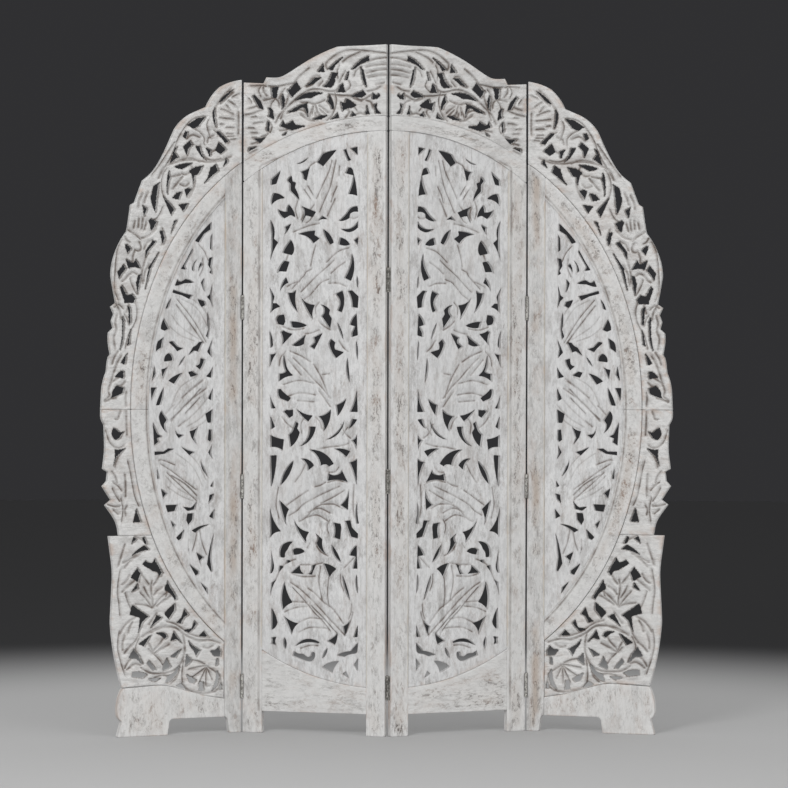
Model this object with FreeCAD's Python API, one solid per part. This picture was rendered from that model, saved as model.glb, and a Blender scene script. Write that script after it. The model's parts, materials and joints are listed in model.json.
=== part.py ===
import FreeCAD, Part
import math
import os

# Four-leaf folding screen with pierced foliage boards (jali), after the carved Indian pattern.
# Millimetres, +Z up, the front looks along -Y. Each leaf is drawn flat in its own frame:
# u from the fold nearer the middle of the screen, y from its front face to its back, z up.
# The right half is modelled and placed at the folds, then mirrored for the left half.

V = FreeCAD.Vector

# ---- driving dimensions ----
TOTAL_HEIGHT = 1800.0
INNER_LEAF_WIDTH = 392.0        # hinge pin to hinge pin
OUTER_LEAF_REACH = 390.5        # side fold pin to the widest carved scallop
FOLD_ANGLE = 21.0               # each leaf stands this far off the flat screen's plane
FRAME_THICKNESS = 18.0
CENTRE_STILE_WIDTH = 50.0
SIDE_STILE_WIDTH = 53.0
OUTER_STILE_WIDTH = 47.0
KICK_HEIGHT = 57.0              # floor to the underside of the bottom rail
BOTTOM_RAIL_HEIGHT = 68.0       # at the centre fold, under the oval
CREST_HEIGHT = 186.0            # carved crest above the arched rail
RING_TOP_WIDTH = 38.0           # arched rail at the crown of the oval
RING_SIDE_WIDTH = 48.0          # ring rail where the oval is widest
OVAL_SIDE_MARGIN = 128.5        # oval's inner edge to the widest scallop's line
OVAL_SQUARENESS = 2.1           # exponent of the oval: 2 is an ellipse
JALI_THICKNESS = 12.0
CARVED_THICKNESS = 15.0         # crest, border and corner boards
TONGUE_DEPTH = 8.0              # board's tongue in the stile's groove
TENON_LENGTH = 20.0
TENON_THICKNESS = 7.0
TENON_SHOULDER = 15.0           # wood above and below the bottom rail's tenon
RING_TENON_WIDTH = 24.0
RING_TENON_SHOULDER = 12.0
CORNER_TOP = 523.0              # top edge of the carved corner board
FOOT_ARCH_HEIGHT = 42.0
FOOT_ARCH_END = 203.0           # cut-out under the outer leaf, from the side fold
FOOT_ARCH_CORNER = 11.0         # rounding of the cut-out's corners
FOOT_WIDTH = 33.0               # stile's foot beside that cut-out
FOOT_SPLAY = 5.0                # the foot widens by this towards the cut-out's corner
DEEP_BOW = 5.0                  # an opening's side with less bow is cut straight
PLAIN_RIM = 3.0                 # wood left between an opening and the board's edge

# ---- clearances ----
FOLD_GAP = 1.0                  # between two leaves when the screen is flat
BOARD_GAP = 0.4                 # between a board and the rail it meets
JOINT_GAP = 0.2                 # round tenons, tongues and hinge leaves

# ---- butt hinges ----
CENTRE_HINGE_LOW = 126.0
CENTRE_HINGE_MIDDLE = 664.0
CENTRE_HINGE_HIGH = 1189.0
SIDE_HINGE_LOW = 121.0
SIDE_HINGE_MIDDLE = 647.0
SIDE_HINGE_HIGH = 1117.0
HINGE_HEIGHT = 63.0
KNUCKLE_RADIUS = 3.5
PIN_RADIUS = 1.75
PIN_CLEARANCE = 0.05
PIN_OFFSET = 3.8                # pin's axis outside the leaf's face
PLATE_THICKNESS = 1.5
PLATE_WIDTH = 13.0
KNUCKLE_GAP = 0.3
PIN_END = 1.0                   # pin's end outside the knuckles

# ---- carved patterns, in rows of (u, z, bow); bow is the rise, outwards, of the arc to the next row ----
# Low inner and high outer corner of the field that each pattern is drawn on, stretched to the real one.
INNER_FIELD = [(8.4, 125, 0), (398.5, 1576, 0)]
OUTER_FIELD = [(1.5, 125, 0), (396, 1576, 0)]
CREST_FIELD = [(8.4, 1614, 0), (398.5, 1804, 0)]

# Carved openings. Each is a closed outline, clockwise from the front; a small bow is cut straight.
INNER_JALI_OPENINGS = [
    [(82, 202, 0), (94, 184, 0), (83, 169, 0)],
    [(134, 193, 5), (180, 176, 0), (152, 162, -3)],
    [(83, 242, 0), (99, 226, 0), (103, 220, 2), (139, 209, 0), (120, 205, -2), (93, 214, 2),
     (84, 222, 0)],
    [(83, 288, 0), (95, 257, 0), (84, 258, 0)],
    [(105, 300, -2), (124, 284, 0), (119, 258, 0)],
    [(139, 267, -2), (166, 245, 0), (146, 235, 2)],
    [(188, 241, 14), (256, 229, -7), (193, 238, 0)],
    [(200, 212, 2), (209, 214, 0), (213, 203, 0), (220, 201, 0), (232, 209, 0), (247, 210, 0),
     (258, 216, 0), (262, 204, 0), (236, 195, 2), (211, 191, 4)],
    [(284, 252, 5), (282, 220, 5)],
    [(307, 252, 0), (321, 250, -2), (321, 234, 0), (308, 231, -3)],
    [(320, 328, 0), (321, 271, 4), (304, 291, 2)],
    [(247, 289, -3), (285, 307, 0), (264, 258, -4)],
    [(284, 398, 7), (290, 323, -3), (263, 344, -4)],
    [(125, 418, 5), (104, 352, 2)],
    [(86, 422, 5), (83, 371, 0)],
    [(142, 434, 3), (178, 448, 0), (162, 410, -2)],
    [(198, 445, 0), (211, 441, -2), (213, 426, -2), (222, 419, 0), (210, 418, 0)],
    [(242, 443, 0), (268, 421, 0), (232, 419, -4)],
    [(322, 480, -3), (325, 419, 0), (320, 420, 2), (314, 440, 0)],
    [(87, 497, 3), (107, 470, 0), (95, 469, -2), (91, 461, 0), (98, 436, 0), (85, 436, 0)],
    [(155, 497, 8), (129, 451, 3)],
    [(181, 511, 0), (199, 526, -5), (199, 500, 3), (172, 471, -4)],
    [(229, 478, 3), (250, 486, 2), (264, 480, 0), (261, 469, 2)],
    [(262, 503, 3), (292, 494, 3), (299, 463, 2), (284, 463, -3), (276, 483, -2)],
    [(217, 529, -8), (259, 562, 5), (225, 500, -4)],
    [(104, 561, 0), (119, 560, 0), (104, 519, 0), (84, 515, 0), (83, 527, 0), (100, 543, 0)],
    [(131, 552, 0), (151, 555, -3), (150, 516, 0), (132, 511, 0), (129, 543, 0)],
    [(85, 609, 4), (87, 553, 0), (81, 554, -2)],
    [(108, 642, -5), (132, 601, 0), (111, 588, 0)],
    [(273, 588, 0), (299, 611, 3), (279, 545, -5)],
    [(325, 592, 0), (324, 513, -5), (295, 530, -6)],
    [(307, 729, 0), (325, 728, 0), (322, 644, 3)],
    [(260, 716, 8), (297, 650, 7)],
    [(128, 693, -2), (138, 681, -4), (164, 684, 0), (168, 664, -5), (112, 661, 0)],
    [(86, 723, -2), (107, 713, -2), (87, 653, 0)],
    [(150, 709, 11), (216, 745, -7), (187, 702, -6), (165, 701, 0)],
    [(204, 704, 6), (239, 721, -5), (221, 690, 0)],
    [(105, 742, 3), (147, 748, -2), (117, 726, 0)],
    [(86, 787, -3), (101, 770, -3), (88, 744, 0)],
    [(86, 825, 0), (100, 826, 0), (110, 800, 2)],
    [(121, 822, -7), (171, 771, 12)],
    [(87, 903, -3), (106, 845, 0), (85, 845, 0)],
    [(116, 879, -2), (144, 862, 0), (140, 833, 3)],
    [(158, 851, -4), (192, 832, -5), (178, 793, 6)],
    [(208, 834, -4), (252, 851, 3), (221, 818, 0)],
    [(199, 805, 0), (217, 805, -8), (243, 753, 10)],
    [(255, 818, 0), (262, 800, -2), (275, 783, 0), (270, 751, 5), (244, 790, 0), (251, 800, 0),
     (247, 813, 0)],
    [(262, 850, -2), (281, 849, 0), (289, 844, 0), (274, 827, 0), (262, 834, 0)],
    [(324, 833, 0), (323, 797, 0), (312, 804, 0)],
    [(287, 771, -2), (324, 782, 0), (324, 751, -4), (291, 741, 0)],
    [(325, 887, 0), (322, 852, 0), (310, 853, -2)],
    [(268, 880, -2), (296, 903, 0), (304, 902, 3), (300, 879, 0), (276, 870, 0)],
    [(287, 993, 4), (283, 949, -2), (301, 943, 0), (302, 922, -4), (262, 939, -3), (281, 966, 0)],
    [(308, 998, -2), (326, 994, 0), (326, 961, -2)],
    [(327, 1056, 0), (325, 1011, 3), (318, 1022, 2)],
    [(88, 1031, 5), (85, 980, 5)],
    [(112, 986, 7), (106, 921, 0)],
    [(123, 1000, 0), (147, 1007, -2), (146, 1025, 0), (158, 1035, 0), (165, 1023, 3), (145, 984, 0)],
    [(181, 1050, 0), (207, 1038, -2), (204, 1024, 0), (216, 1015, 0), (204, 1007, 0)],
    [(226, 1046, 0), (265, 1018, 4), (232, 1022, -2)],
    [(264, 1048, -2), (289, 1057, 0), (297, 1052, -3), (293, 1018, 0)],
    [(88, 1101, 3), (107, 1072, 0), (93, 1068, 0), (102, 1050, 0), (102, 1040, 0), (85, 1045, 0)],
    [(287, 1098, 0), (303, 1096, 2), (310, 1083, 0), (306, 1074, 0), (289, 1070, 0), (284, 1080, 0)],
    [(224, 1070, 3), (270, 1080, 0), (266, 1065, 3)],
    [(100, 1161, 0), (112, 1160, -3), (101, 1118, 0), (85, 1116, 0), (83, 1145, 0)],
    [(127, 1161, 0), (146, 1152, -9), (141, 1109, 0), (129, 1104, 6)],
    [(186, 1124, -2), (177, 1110, -2), (185, 1094, 0), (161, 1061, 0), (156, 1088, 0), (164, 1100, 0),
     (161, 1110, 3)],
    [(203, 1123, -5), (240, 1142, 2), (208, 1085, -4)],
    [(254, 1162, 0), (265, 1155, 0), (277, 1155, 6), (249, 1104, -5)],
    [(327, 1170, -4), (325, 1102, -3), (298, 1119, 0), (309, 1128, 0), (319, 1127, 0), (314, 1145, 0)],
    [(282, 1196, 4), (298, 1158, -4), (276, 1182, 0)],
    [(273, 1236, 0), (288, 1239, 3), (306, 1207, 0), (300, 1212, 0), (281, 1211, 0)],
    [(101, 1258, -5), (122, 1194, 0), (104, 1186, 8)],
    [(325, 1346, -3), (325, 1238, -3), (304, 1287, 0), (316, 1297, 6)],
    [(269, 1294, 2), (292, 1260, 0), (266, 1254, 2), (260, 1272, 2)],
    [(107, 1281, 4), (134, 1299, 0), (138, 1282, 3)],
    [(180, 1321, 3), (162, 1281, 0), (151, 1286, 5)],
    [(202, 1317, 2), (248, 1309, -6), (208, 1284, 0), (190, 1297, 0), (204, 1306, 0)],
    [(85, 1341, -9), (132, 1322, 10), (85, 1325, 0)],
    [(86, 1380, 3), (110, 1372, -2), (138, 1343, 3), (109, 1350, 0), (107, 1361, -3), (85, 1366, 0)],
    [(200, 1366, 0), (241, 1382, -3), (233, 1362, 0), (239, 1337, 0), (228, 1358, 0), (209, 1353, 0)],
    [(268, 1336, 0), (286, 1327, -3), (287, 1307, 2)],
    [(257, 1353, 3), (274, 1386, 3), (281, 1367, -2), (305, 1374, 4), (287, 1350, 0), (270, 1359, 0)],
    [(286, 1403, 4), (318, 1416, 3), (323, 1385, -5)],
    [(297, 1475, 0), (324, 1452, 0), (325, 1438, 0), (309, 1441, 0)],
    [(267, 1461, 2), (280, 1449, 0), (272, 1441, 0), (272, 1423, 0), (245, 1396, 2), (258, 1430, 0),
     (255, 1443, 0), (264, 1446, 0)],
    [(217, 1484, -2), (242, 1472, -2), (235, 1453, 0), (226, 1448, 0)],
    [(144, 1527, 2), (184, 1517, 0), (198, 1496, 0), (181, 1485, 0)],
    [(87, 1535, 0), (106, 1531, 0), (86, 1513, 0)],
    [(117, 1530, 0), (125, 1527, 0), (113, 1498, 0), (104, 1501, -2)],
    [(100, 1477, 2), (113, 1481, 0), (120, 1467, 0), (102, 1461, -2), (112, 1412, -2), (87, 1407, 2)],
]

OUTER_JALI_OPENINGS = [
    [(86, 1340, 2), (133, 1290, 0), (120, 1286, 0), (104, 1310, 0), (86, 1321, 0)],
    [(84, 1310, 0), (89, 1300, 0), (90, 1270, 0), (84, 1265, 0)],
    [(82, 1248, 0), (92, 1246, 0), (96, 1228, 0), (87, 1215, 0), (92, 1208, 0), (83, 1203, 0),
     (86, 1225, 0)],
    [(141, 1270, 0), (160, 1236, 0), (173, 1217, 0), (156, 1215, 0), (162, 1224, 0), (139, 1264, 0)],
    [(84, 1177, 0), (91, 1150, 0), (99, 1144, 0), (90, 1135, 0), (83, 1117, 0), (86, 1150, 0)],
    [(136, 1181, 2), (160, 1190, 0), (172, 1183, -2), (183, 1190, 0), (190, 1173, 0), (178, 1174, 0),
     (160, 1180, 0)],
    [(140, 1148, 0), (160, 1152, 0), (195, 1162, 0), (197, 1155, 0), (170, 1148, 0), (147, 1137, 0)],
    [(105, 1133, 0), (125, 1138, 2), (112, 1117, 0), (101, 1123, 0)],
    [(97, 1104, 2), (95, 1060, 0), (101, 1042, 0), (95, 1034, 5)],
    [(206, 1060, 0), (221, 1087, 2), (230, 1060, 0), (218, 1055, 0)],
    [(83, 1034, 0), (98, 1000, 0), (84, 985, 0), (88, 1010, 0)],
    [(109, 1027, 0), (122, 1025, -2), (138, 1013, 0), (152, 991, 0), (132, 1004, 0), (122, 1000, 0)],
    [(166, 1009, 0), (180, 1013, 0), (195, 1028, 0), (207, 1026, 0), (190, 1010, 0), (183, 1001, 0)],
    [(222, 1038, 0), (238, 1028, 2), (243, 1001, 0), (226, 1012, 0)],
    [(104, 980, 0), (117, 984, 0), (119, 970, -2), (131, 964, 0), (117, 953, 2)],
    [(194, 978, 4), (207, 997, 5), (220, 975, 0)],
    [(82, 962, -2), (101, 936, 0), (84, 932, 0)],
    [(124, 940, 0), (140, 950, 0), (152, 947, 0), (145, 934, 0), (130, 938, 0)],
    [(169, 945, 3), (208, 925, 0), (190, 916, 0)],
    [(210, 962, -2), (228, 955, 0), (224, 930, 0)],
    [(248, 964, 0), (255, 924, 0), (243, 942, 0)],
    [(82, 906, 0), (95, 878, 0), (84, 872, 0)],
    [(222, 907, 2), (243, 861, 0), (230, 862, 3)],
    [(241, 907, 0), (258, 907, 0), (256, 872, 0)],
    [(82, 850, 0), (103, 838, 0), (97, 815, 0), (84, 815, 0)],
    [(227, 847, 3), (234, 825, 4), (211, 788, -2), (217, 812, 0), (210, 822, 0)],
    [(84, 795, 0), (93, 797, 0), (96, 770, 0), (87, 764, 0), (83, 770, 0)],
    [(124, 805, -3), (148, 793, 0), (143, 777, 0), (127, 757, 0), (134, 775, 0)],
    [(252, 817, 0), (248, 756, 0), (234, 765, 0), (238, 775, 0), (225, 780, 0), (236, 785, 0)],
    [(134, 738, 0), (150, 742, 0), (172, 752, 0), (156, 738, 0), (147, 729, 0)],
    [(193, 747, 0), (209, 748, 0), (222, 740, 0), (247, 740, 0), (247, 731, 0), (215, 735, 0)],
    [(78, 628, 0), (91, 625, 0), (94, 602, 0), (82, 614, 0)],
    [(211, 630, 0), (229, 644, 0), (223, 617, 0)],
    [(127, 611, -2), (145, 592, 0), (166, 595, 0), (152, 584, 0), (132, 588, 0)],
    [(182, 601, 0), (216, 600, 0), (210, 582, 0), (187, 585, 0)],
    [(136, 578, 0), (154, 577, 0), (157, 560, 0), (150, 546, 0), (137, 560, 0)],
    [(77, 588, 0), (92, 569, 0), (78, 562, 0)],
    [(92, 548, 3), (142, 533, 0), (129, 526, -2)],
    [(163, 536, 0), (186, 515, 0), (178, 507, 0), (168, 512, 0)],
    [(79, 524, 0), (88, 495, 0), (92, 475, 0), (98, 444, 0), (86, 423, 0), (81, 424, 0), (86, 460, 0),
     (83, 495, 0)],
    [(106, 462, 0), (128, 475, 0), (115, 438, 0), (118, 452, 0)],
    [(120, 425, 0), (148, 445, 0), (130, 414, 0), (120, 418, 0)],
]

CREST_OPENINGS = [
    [(57, 1774, 4), (104, 1740, 0), (98, 1740, -4), (57, 1762, 0)],
    [(72, 1737, 0), (79, 1743, 0), (75, 1715, 0), (70, 1700, 0), (62, 1692, 0), (66, 1712, 0)],
    [(128, 1771, 2), (168, 1742, 0), (156, 1738, 0), (148, 1752, 0)],
    [(181, 1755, 0), (197, 1735, 0), (178, 1735, 0)],
    [(142, 1729, 0), (158, 1731, -4), (181, 1695, 0), (160, 1693, 4), (150, 1716, 0)],
    [(187, 1718, 0), (205, 1718, 0), (228, 1697, 0), (207, 1705, 0)],
    [(244, 1690, 0), (254, 1708, 0), (266, 1700, -2), (280, 1686, 0), (268, 1667, 0)],
    [(305, 1696, 0), (324, 1694, 0), (322, 1668, 0), (310, 1668, 0)],
    [(128, 1701, 0), (136, 1698, 0), (143, 1680, 0), (122, 1680, 0)],
    [(26, 1669, 0), (31, 1674, 0), (37, 1667, 0), (46, 1675, 0), (48, 1660, 0), (35, 1661, 0)],
    [(65, 1671, 0), (72, 1682, 0), (88, 1676, 0), (104, 1668, 0), (75, 1665, 0)],
    [(91, 1643, 2), (119, 1661, 0), (122, 1648, 0), (133, 1652, 0), (128, 1628, -3), (105, 1638, 0)],
    [(155, 1650, 0), (165, 1672, 0), (170, 1655, 0), (163, 1648, 0), (158, 1635, 0), (153, 1636, 0)],
    [(183, 1677, 2), (225, 1678, 3), (257, 1660, -2), (214, 1666, -2)],
    [(226, 1651, 3), (277, 1628, 0), (255, 1631, -2), (235, 1642, 0), (222, 1615, 0), (224, 1635, 0)],
    [(292, 1676, 0), (297, 1668, 0), (294, 1636, 2), (287, 1660, 0)],
    [(35, 1647, 0), (43, 1643, 0), (38, 1622, 0), (25, 1622, 0), (36, 1632, 0)],
    [(170, 1617, 0), (190, 1618, 0), (208, 1608, 0), (188, 1609, 0)],
    [(232, 1590, 0), (258, 1593, 0), (265, 1605, 0), (284, 1594, 0), (292, 1605, 0), (299, 1592, 0),
     (268, 1580, 0)],
    [(320, 1632, 2), (333, 1640, -3), (332, 1618, 0), (316, 1610, 0)],
    [(352, 1655, 0), (370, 1675, 0), (376, 1672, 0), (358, 1640, 0), (346, 1637, 0)],
    [(340, 1562, 0), (352, 1558, 0), (372, 1558, 0), (354, 1547, 0)],
]

UPPER_BORDER_OPENINGS = [
    [(25, 1688, 2), (62, 1655, 0), (50, 1660, 0), (35, 1675, 0)],
    [(76, 1638, 0), (82, 1625, 0), (79, 1605, 0), (72, 1590, 0), (74, 1610, 0)],
    [(103, 1613, 0), (125, 1610, 0), (152, 1592, 0), (138, 1584, 0), (122, 1590, 0)],
    [(36, 1552, 0), (62, 1576, 0), (70, 1575, 0), (45, 1548, 0)],
    [(43, 1530, 0), (60, 1545, 0), (66, 1548, 0), (73, 1527, 0), (60, 1519, 0)],
    [(118, 1537, 0), (131, 1536, 3), (101, 1502, -3)],
    [(140, 1541, 0), (147, 1551, 0), (166, 1535, 0), (155, 1513, 0), (150, 1530, 0)],
    [(184, 1534, 0), (189, 1530, 0), (203, 1493, 0), (180, 1508, 0), (190, 1520, 0)],
    [(142, 1492, 3), (191, 1482, 0), (170, 1477, 0)],
    [(110, 1486, 0), (132, 1482, 0), (148, 1473, 0), (140, 1460, 0), (136, 1440, 0), (132, 1462, 0),
     (122, 1465, 0)],
    [(66, 1475, 0), (73, 1491, 0), (88, 1482, 0), (97, 1455, 0), (107, 1441, 0), (88, 1457, 0)],
    [(202, 1455, 0), (207, 1471, 3), (211, 1411, -2)],
    [(142, 1424, 0), (152, 1427, 0), (162, 1423, 0), (156, 1405, 0)],
    [(170, 1417, 0), (186, 1413, 0), (196, 1402, 0), (178, 1398, 0)],
    [(152, 1387, 0), (178, 1383, 0), (166, 1366, 0)],
    [(190, 1372, 0), (222, 1404, 0), (200, 1356, 0)],
    [(235, 1440, 0), (250, 1430, 0), (258, 1400, 2), (244, 1363, 0), (240, 1400, 0)],
    [(267, 1372, 0), (281, 1380, 0), (276, 1352, 0)],
    [(240, 1338, 0), (258, 1346, 0), (262, 1340, 0), (257, 1317, 0), (250, 1320, 0)],
    [(222, 1314, 0), (232, 1314, 0), (222, 1281, 0), (217, 1295, 0)],
    [(236, 1259, 0), (262, 1222, 0), (274, 1163, 0), (258, 1215, 0)],
    [(243, 1286, 0), (252, 1290, 0), (272, 1262, 0), (271, 1248, 0), (262, 1265, 0)],
    [(286, 1218, 0), (300, 1240, 0), (306, 1230, 0), (327, 1240, 0), (320, 1218, 0), (306, 1222, 0)],
    [(312, 1268, 0), (324, 1278, 0), (330, 1278, 0), (323, 1256, 0)],
    [(326, 1216, 0), (335, 1226, 0), (350, 1206, 0), (346, 1190, 0), (336, 1204, 0)],
    [(284, 1200, 0), (293, 1198, 0), (298, 1180, 0), (294, 1152, 0), (289, 1175, 0)],
    [(300, 1138, 0), (310, 1150, 0), (322, 1145, 0), (338, 1172, 0), (343, 1166, 0), (330, 1128, 0),
     (303, 1129, 0)],
    [(314, 1115, 0), (321, 1118, 0), (317, 1073, 0), (313, 1075, 0)],
    [(332, 1080, 0), (337, 1092, 0), (337, 1045, 0), (344, 1005, 0), (335, 1030, 0)],
    [(325, 996, 0), (341, 972, 0), (329, 968, 0)],
    [(332, 948, 0), (342, 950, 0), (357, 937, 0), (333, 932, 0)],
    [(333, 906, 0), (352, 912, 0), (364, 900, 0), (367, 882, 0), (348, 888, 0), (335, 893, 0)],
]

LOWER_BORDER_OPENINGS = [
    [(333, 792, 0), (344, 790, 0), (352, 798, 0), (362, 803, 6), (358, 773, 2), (342, 780, 0)],
    [(330, 750, 0), (345, 745, 0), (358, 746, 0), (357, 728, 0), (362, 705, 0), (350, 730, 0),
     (336, 742, 0)],
    [(284, 558, 0), (298, 592, 0), (306, 558, 0)],
]

CORNER_OPENINGS = [
    [(262, 486, 0), (274, 496, 2), (308, 472, -2)],
    [(224, 424, 0), (246, 462, 0), (252, 450, -3), (272, 456, 0), (280, 448, 0), (250, 430, 0),
     (238, 428, 0), (230, 415, 0)],
    [(284, 424, 0), (294, 438, 0), (313, 415, 0), (291, 402, 0)],
    [(182, 355, 0), (210, 402, 0), (216, 380, 0), (200, 370, 0), (188, 352, 0)],
    [(189, 343, 0), (206, 330, 0), (218, 318, 0), (205, 303, 0), (188, 325, 0)],
    [(225, 306, 0), (240, 314, 0), (257, 282, 0), (240, 296, 0)],
    [(262, 311, 0), (284, 325, 0), (308, 342, 0), (316, 318, 0), (287, 310, 0), (291, 270, 0),
     (278, 298, 0)],
    [(150, 312, 0), (162, 328, 0), (170, 305, 0), (182, 294, 0), (170, 290, 0), (160, 308, 0)],
    [(126, 286, 0), (134, 295, 0), (140, 276, 0), (160, 271, 0), (144, 266, 0)],
    [(56, 212, 0), (64, 226, 0), (72, 217, 0), (88, 215, 0), (76, 202, 0), (57, 201, 0)],
    [(116, 218, 0), (135, 228, 0), (150, 243, 2), (135, 220, 0), (127, 203, 0)],
    [(140, 193, 0), (156, 208, 0), (158, 178, 0), (148, 185, 0)],
    [(170, 240, 0), (192, 270, 0), (200, 246, 0), (182, 250, 0)],
    [(172, 222, 0), (186, 214, 0), (200, 206, 0), (185, 202, 0)],
    [(210, 256, 2), (224, 268, 0), (240, 267, -2), (216, 252, 0)],
    [(256, 262, 0), (270, 254, 0), (289, 240, 0), (274, 234, 0), (264, 248, 0)],
    [(280, 188, 0), (290, 210, 0), (305, 227, 0), (317, 206, 0), (296, 202, 0)],
    [(200, 177, 0), (212, 200, 0), (222, 178, 0), (222, 168, 0)],
    [(242, 172, 0), (262, 196, 0), (267, 188, 0), (252, 172, 0)],
    [(176, 178, 0), (190, 163, 0), (210, 151, 0), (214, 137, 0), (200, 141, 0), (181, 160, 0)],
    [(268, 160, 0), (290, 167, 0), (308, 167, 0), (310, 156, 0), (278, 152, 0)],
    [(127, 140, 0), (140, 147, 0), (155, 155, 0), (147, 137, 0), (135, 133, 0)],
    [(106, 112, 0), (108, 135, 0), (116, 134, 0), (120, 114, 0)],
    [(60, 148, 0), (68, 162, 0), (72, 135, 0), (82, 112, 0), (68, 123, 0)],
]

# Silhouettes in the same rows, each open at the side where the board meets the oval.
CREST_TOP = [
    (8.4, 1804, 0), (60, 1802, 0), (140, 1801, 3), (240, 1755, 0), (285, 1727, 0),
    (305, 1720, 0), (337, 1722, 0), (345, 1706, 0), (398.5, 1709, 0),
]
UPPER_BORDER_EDGE = [
    (1.5, 1714, 3), (60, 1694, 4), (100, 1641, 0), (138, 1625, 5), (190, 1580, 0),
    (222, 1512, 0), (250, 1468, 0), (280, 1445, 0), (302, 1388, 0), (313, 1382, 0),
    (323, 1314, 3), (357, 1255, 3), (368, 1195, 0), (355, 1127, 0), (369, 1117, 0),
    (360, 1098, 0), (367, 1080, 0), (362, 1062, 0), (375, 1050, 0), (376, 1028, 0),
    (370, 994, 0), (377, 984, 0), (381, 948, 3), (394, 890, 0),
]
LOWER_BORDER_EDGE = [
    (396, 842, 3), (387, 812, 0), (384, 745, 0), (391, 697, 0), (377, 689, 0),
    (380, 665, 0), (392, 652, 0), (368, 616, 0), (385, 603, 0), (352, 560, 0), (346, 523, 0),
]
CORNER_EDGE = [(375, 523, 0), (362, 430, 0), (369, 300, 5), (338, 128, 0)]
FOOT_END = [(338, 126, 5), (352, 60, 3), (340, 40, 0), (352, 0, 0)]
FOOT_RAIL_TOP = [(49.5, 90, 0), (100, 98, 0), (220, 132, 0)]

# ---- sizes that follow ----
OVAL_TOP = TOTAL_HEIGHT - CREST_HEIGHT - RING_TOP_WIDTH
OVAL_BOTTOM = KICK_HEIGHT + BOTTOM_RAIL_HEIGHT
OVAL_CENTRE = (OVAL_TOP + OVAL_BOTTOM) / 2
OVAL_HALF_HEIGHT = (OVAL_TOP - OVAL_BOTTOM) / 2
OVAL_HALF_WIDTH = INNER_LEAF_WIDTH + OUTER_LEAF_REACH - OVAL_SIDE_MARGIN
EDGE = FOLD_GAP / 2
SIDE_STILE_START = INNER_LEAF_WIDTH - EDGE - SIDE_STILE_WIDTH
RING_OUTSIDE = (RING_SIDE_WIDTH, RING_TOP_WIDTH)
BOARD_OUTSIDE = (RING_SIDE_WIDTH + BOARD_GAP, RING_TOP_WIDTH + BOARD_GAP)
JALI_OUTSIDE = (-BOARD_GAP, -BOARD_GAP)
INSIDE = (0.0, 0.0)
CENTRE_HINGES = (CENTRE_HINGE_LOW, CENTRE_HINGE_MIDDLE, CENTRE_HINGE_HIGH)
SIDE_HINGES = (SIDE_HINGE_LOW, SIDE_HINGE_MIDDLE, SIDE_HINGE_HIGH)


def stretch(value, drawn, real):
    """Carry a drawn coordinate from its drawn span to the real one."""
    return real[0] + (value - drawn[0]) * (real[1] - real[0]) / (drawn[1] - drawn[0])


def laid_on(rows, field, across, upright):
    """Drawn rows at their real place, with their field stretched over these spans."""
    (low_u, low_z, _), (high_u, high_z, _) = field
    return [(stretch(u, (low_u, high_u), across), stretch(z, (low_z, high_z), upright), bow)
            for u, z, bow in rows]


def inner_rows(rows):
    """Rows of the inner leaf's pattern at their real place."""
    return laid_on(rows, INNER_FIELD, (EDGE, INNER_LEAF_WIDTH - EDGE), (OVAL_BOTTOM, OVAL_TOP))


def outer_rows(rows):
    """Rows of the outer leaf's pattern at their real place."""
    return laid_on(rows, OUTER_FIELD, (EDGE, OUTER_LEAF_REACH), (OVAL_BOTTOM, OVAL_TOP))


def crest_rows(rows):
    """Rows of the crest's pattern, between the arched rail and the top of the screen."""
    upright = (TOTAL_HEIGHT - CREST_HEIGHT, TOTAL_HEIGHT)
    return laid_on(rows, CREST_FIELD, (EDGE, INNER_LEAF_WIDTH - EDGE), upright)


def oval_height(z):
    """Real height of a drawn one, stretched with the oval."""
    return outer_rows([(0, z, 0)])[0][1]


def oval_angle(across, grow):
    """Angle on the oval, grown by (sideways, upwards), at a distance from the centre fold."""
    share = across / (OVAL_HALF_WIDTH + grow[0])
    return math.acos(share ** (OVAL_SQUARENESS / 2))


def oval_angle_at_height(z, grow):
    """Angle on the grown oval's side at a height, negative under its centre."""
    rise = (z - OVAL_CENTRE) / (OVAL_HALF_HEIGHT + grow[1])
    return math.copysign(math.asin(abs(rise) ** (OVAL_SQUARENESS / 2)), rise)


def oval_point(angle, grow):
    """Point (across, z) of the grown oval at an angle above its centre line."""
    across = (OVAL_HALF_WIDTH + grow[0]) * math.cos(angle) ** (2 / OVAL_SQUARENESS)
    rise = (OVAL_HALF_HEIGHT + grow[1]) * abs(math.sin(angle)) ** (2 / OVAL_SQUARENESS)
    return across, OVAL_CENTRE + math.copysign(rise, angle)


def oval_rows(start, end, grow, arcs, fold=0.0):
    """Rows along the grown oval between two angles, in a leaf whose fold is at that distance."""
    rows = []
    for i in range(arcs + 1):
        angle = start + (end - start) * i / arcs
        u, z = oval_point(angle, grow)
        bow = 0.0
        if i < arcs:
            half_step = (end - start) / arcs / 2
            next_u, next_z = oval_point(angle + 2 * half_step, grow)
            mid_u, mid_z = oval_point(angle + half_step, grow)
            along_u, along_z = next_u - u, next_z - z
            length = math.hypot(along_u, along_z)
            bow = ((mid_z - z) * along_u - (mid_u - u) * along_z) / length
        rows.append((u - fold, z, bow))
    return rows


def wire(rows, y):
    """Closed wire through the rows, in the plane at depth y."""
    edges = []
    for (u0, z0, bow), (u1, z1, _) in zip(rows, rows[1:] + rows[:1]):
        start, end = V(u0, y, z0), V(u1, y, z1)
        if bow == 0:
            edges.append(Part.LineSegment(start, end).toShape())
            continue
        share = bow / math.hypot(u1 - u0, z1 - z0)
        middle = V((u0 + u1) / 2 - (z1 - z0) * share, y, (z0 + z1) / 2 + (u1 - u0) * share)
        edges.append(Part.Arc(start, middle, end).toShape())
    return Part.Wire(edges)


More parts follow.
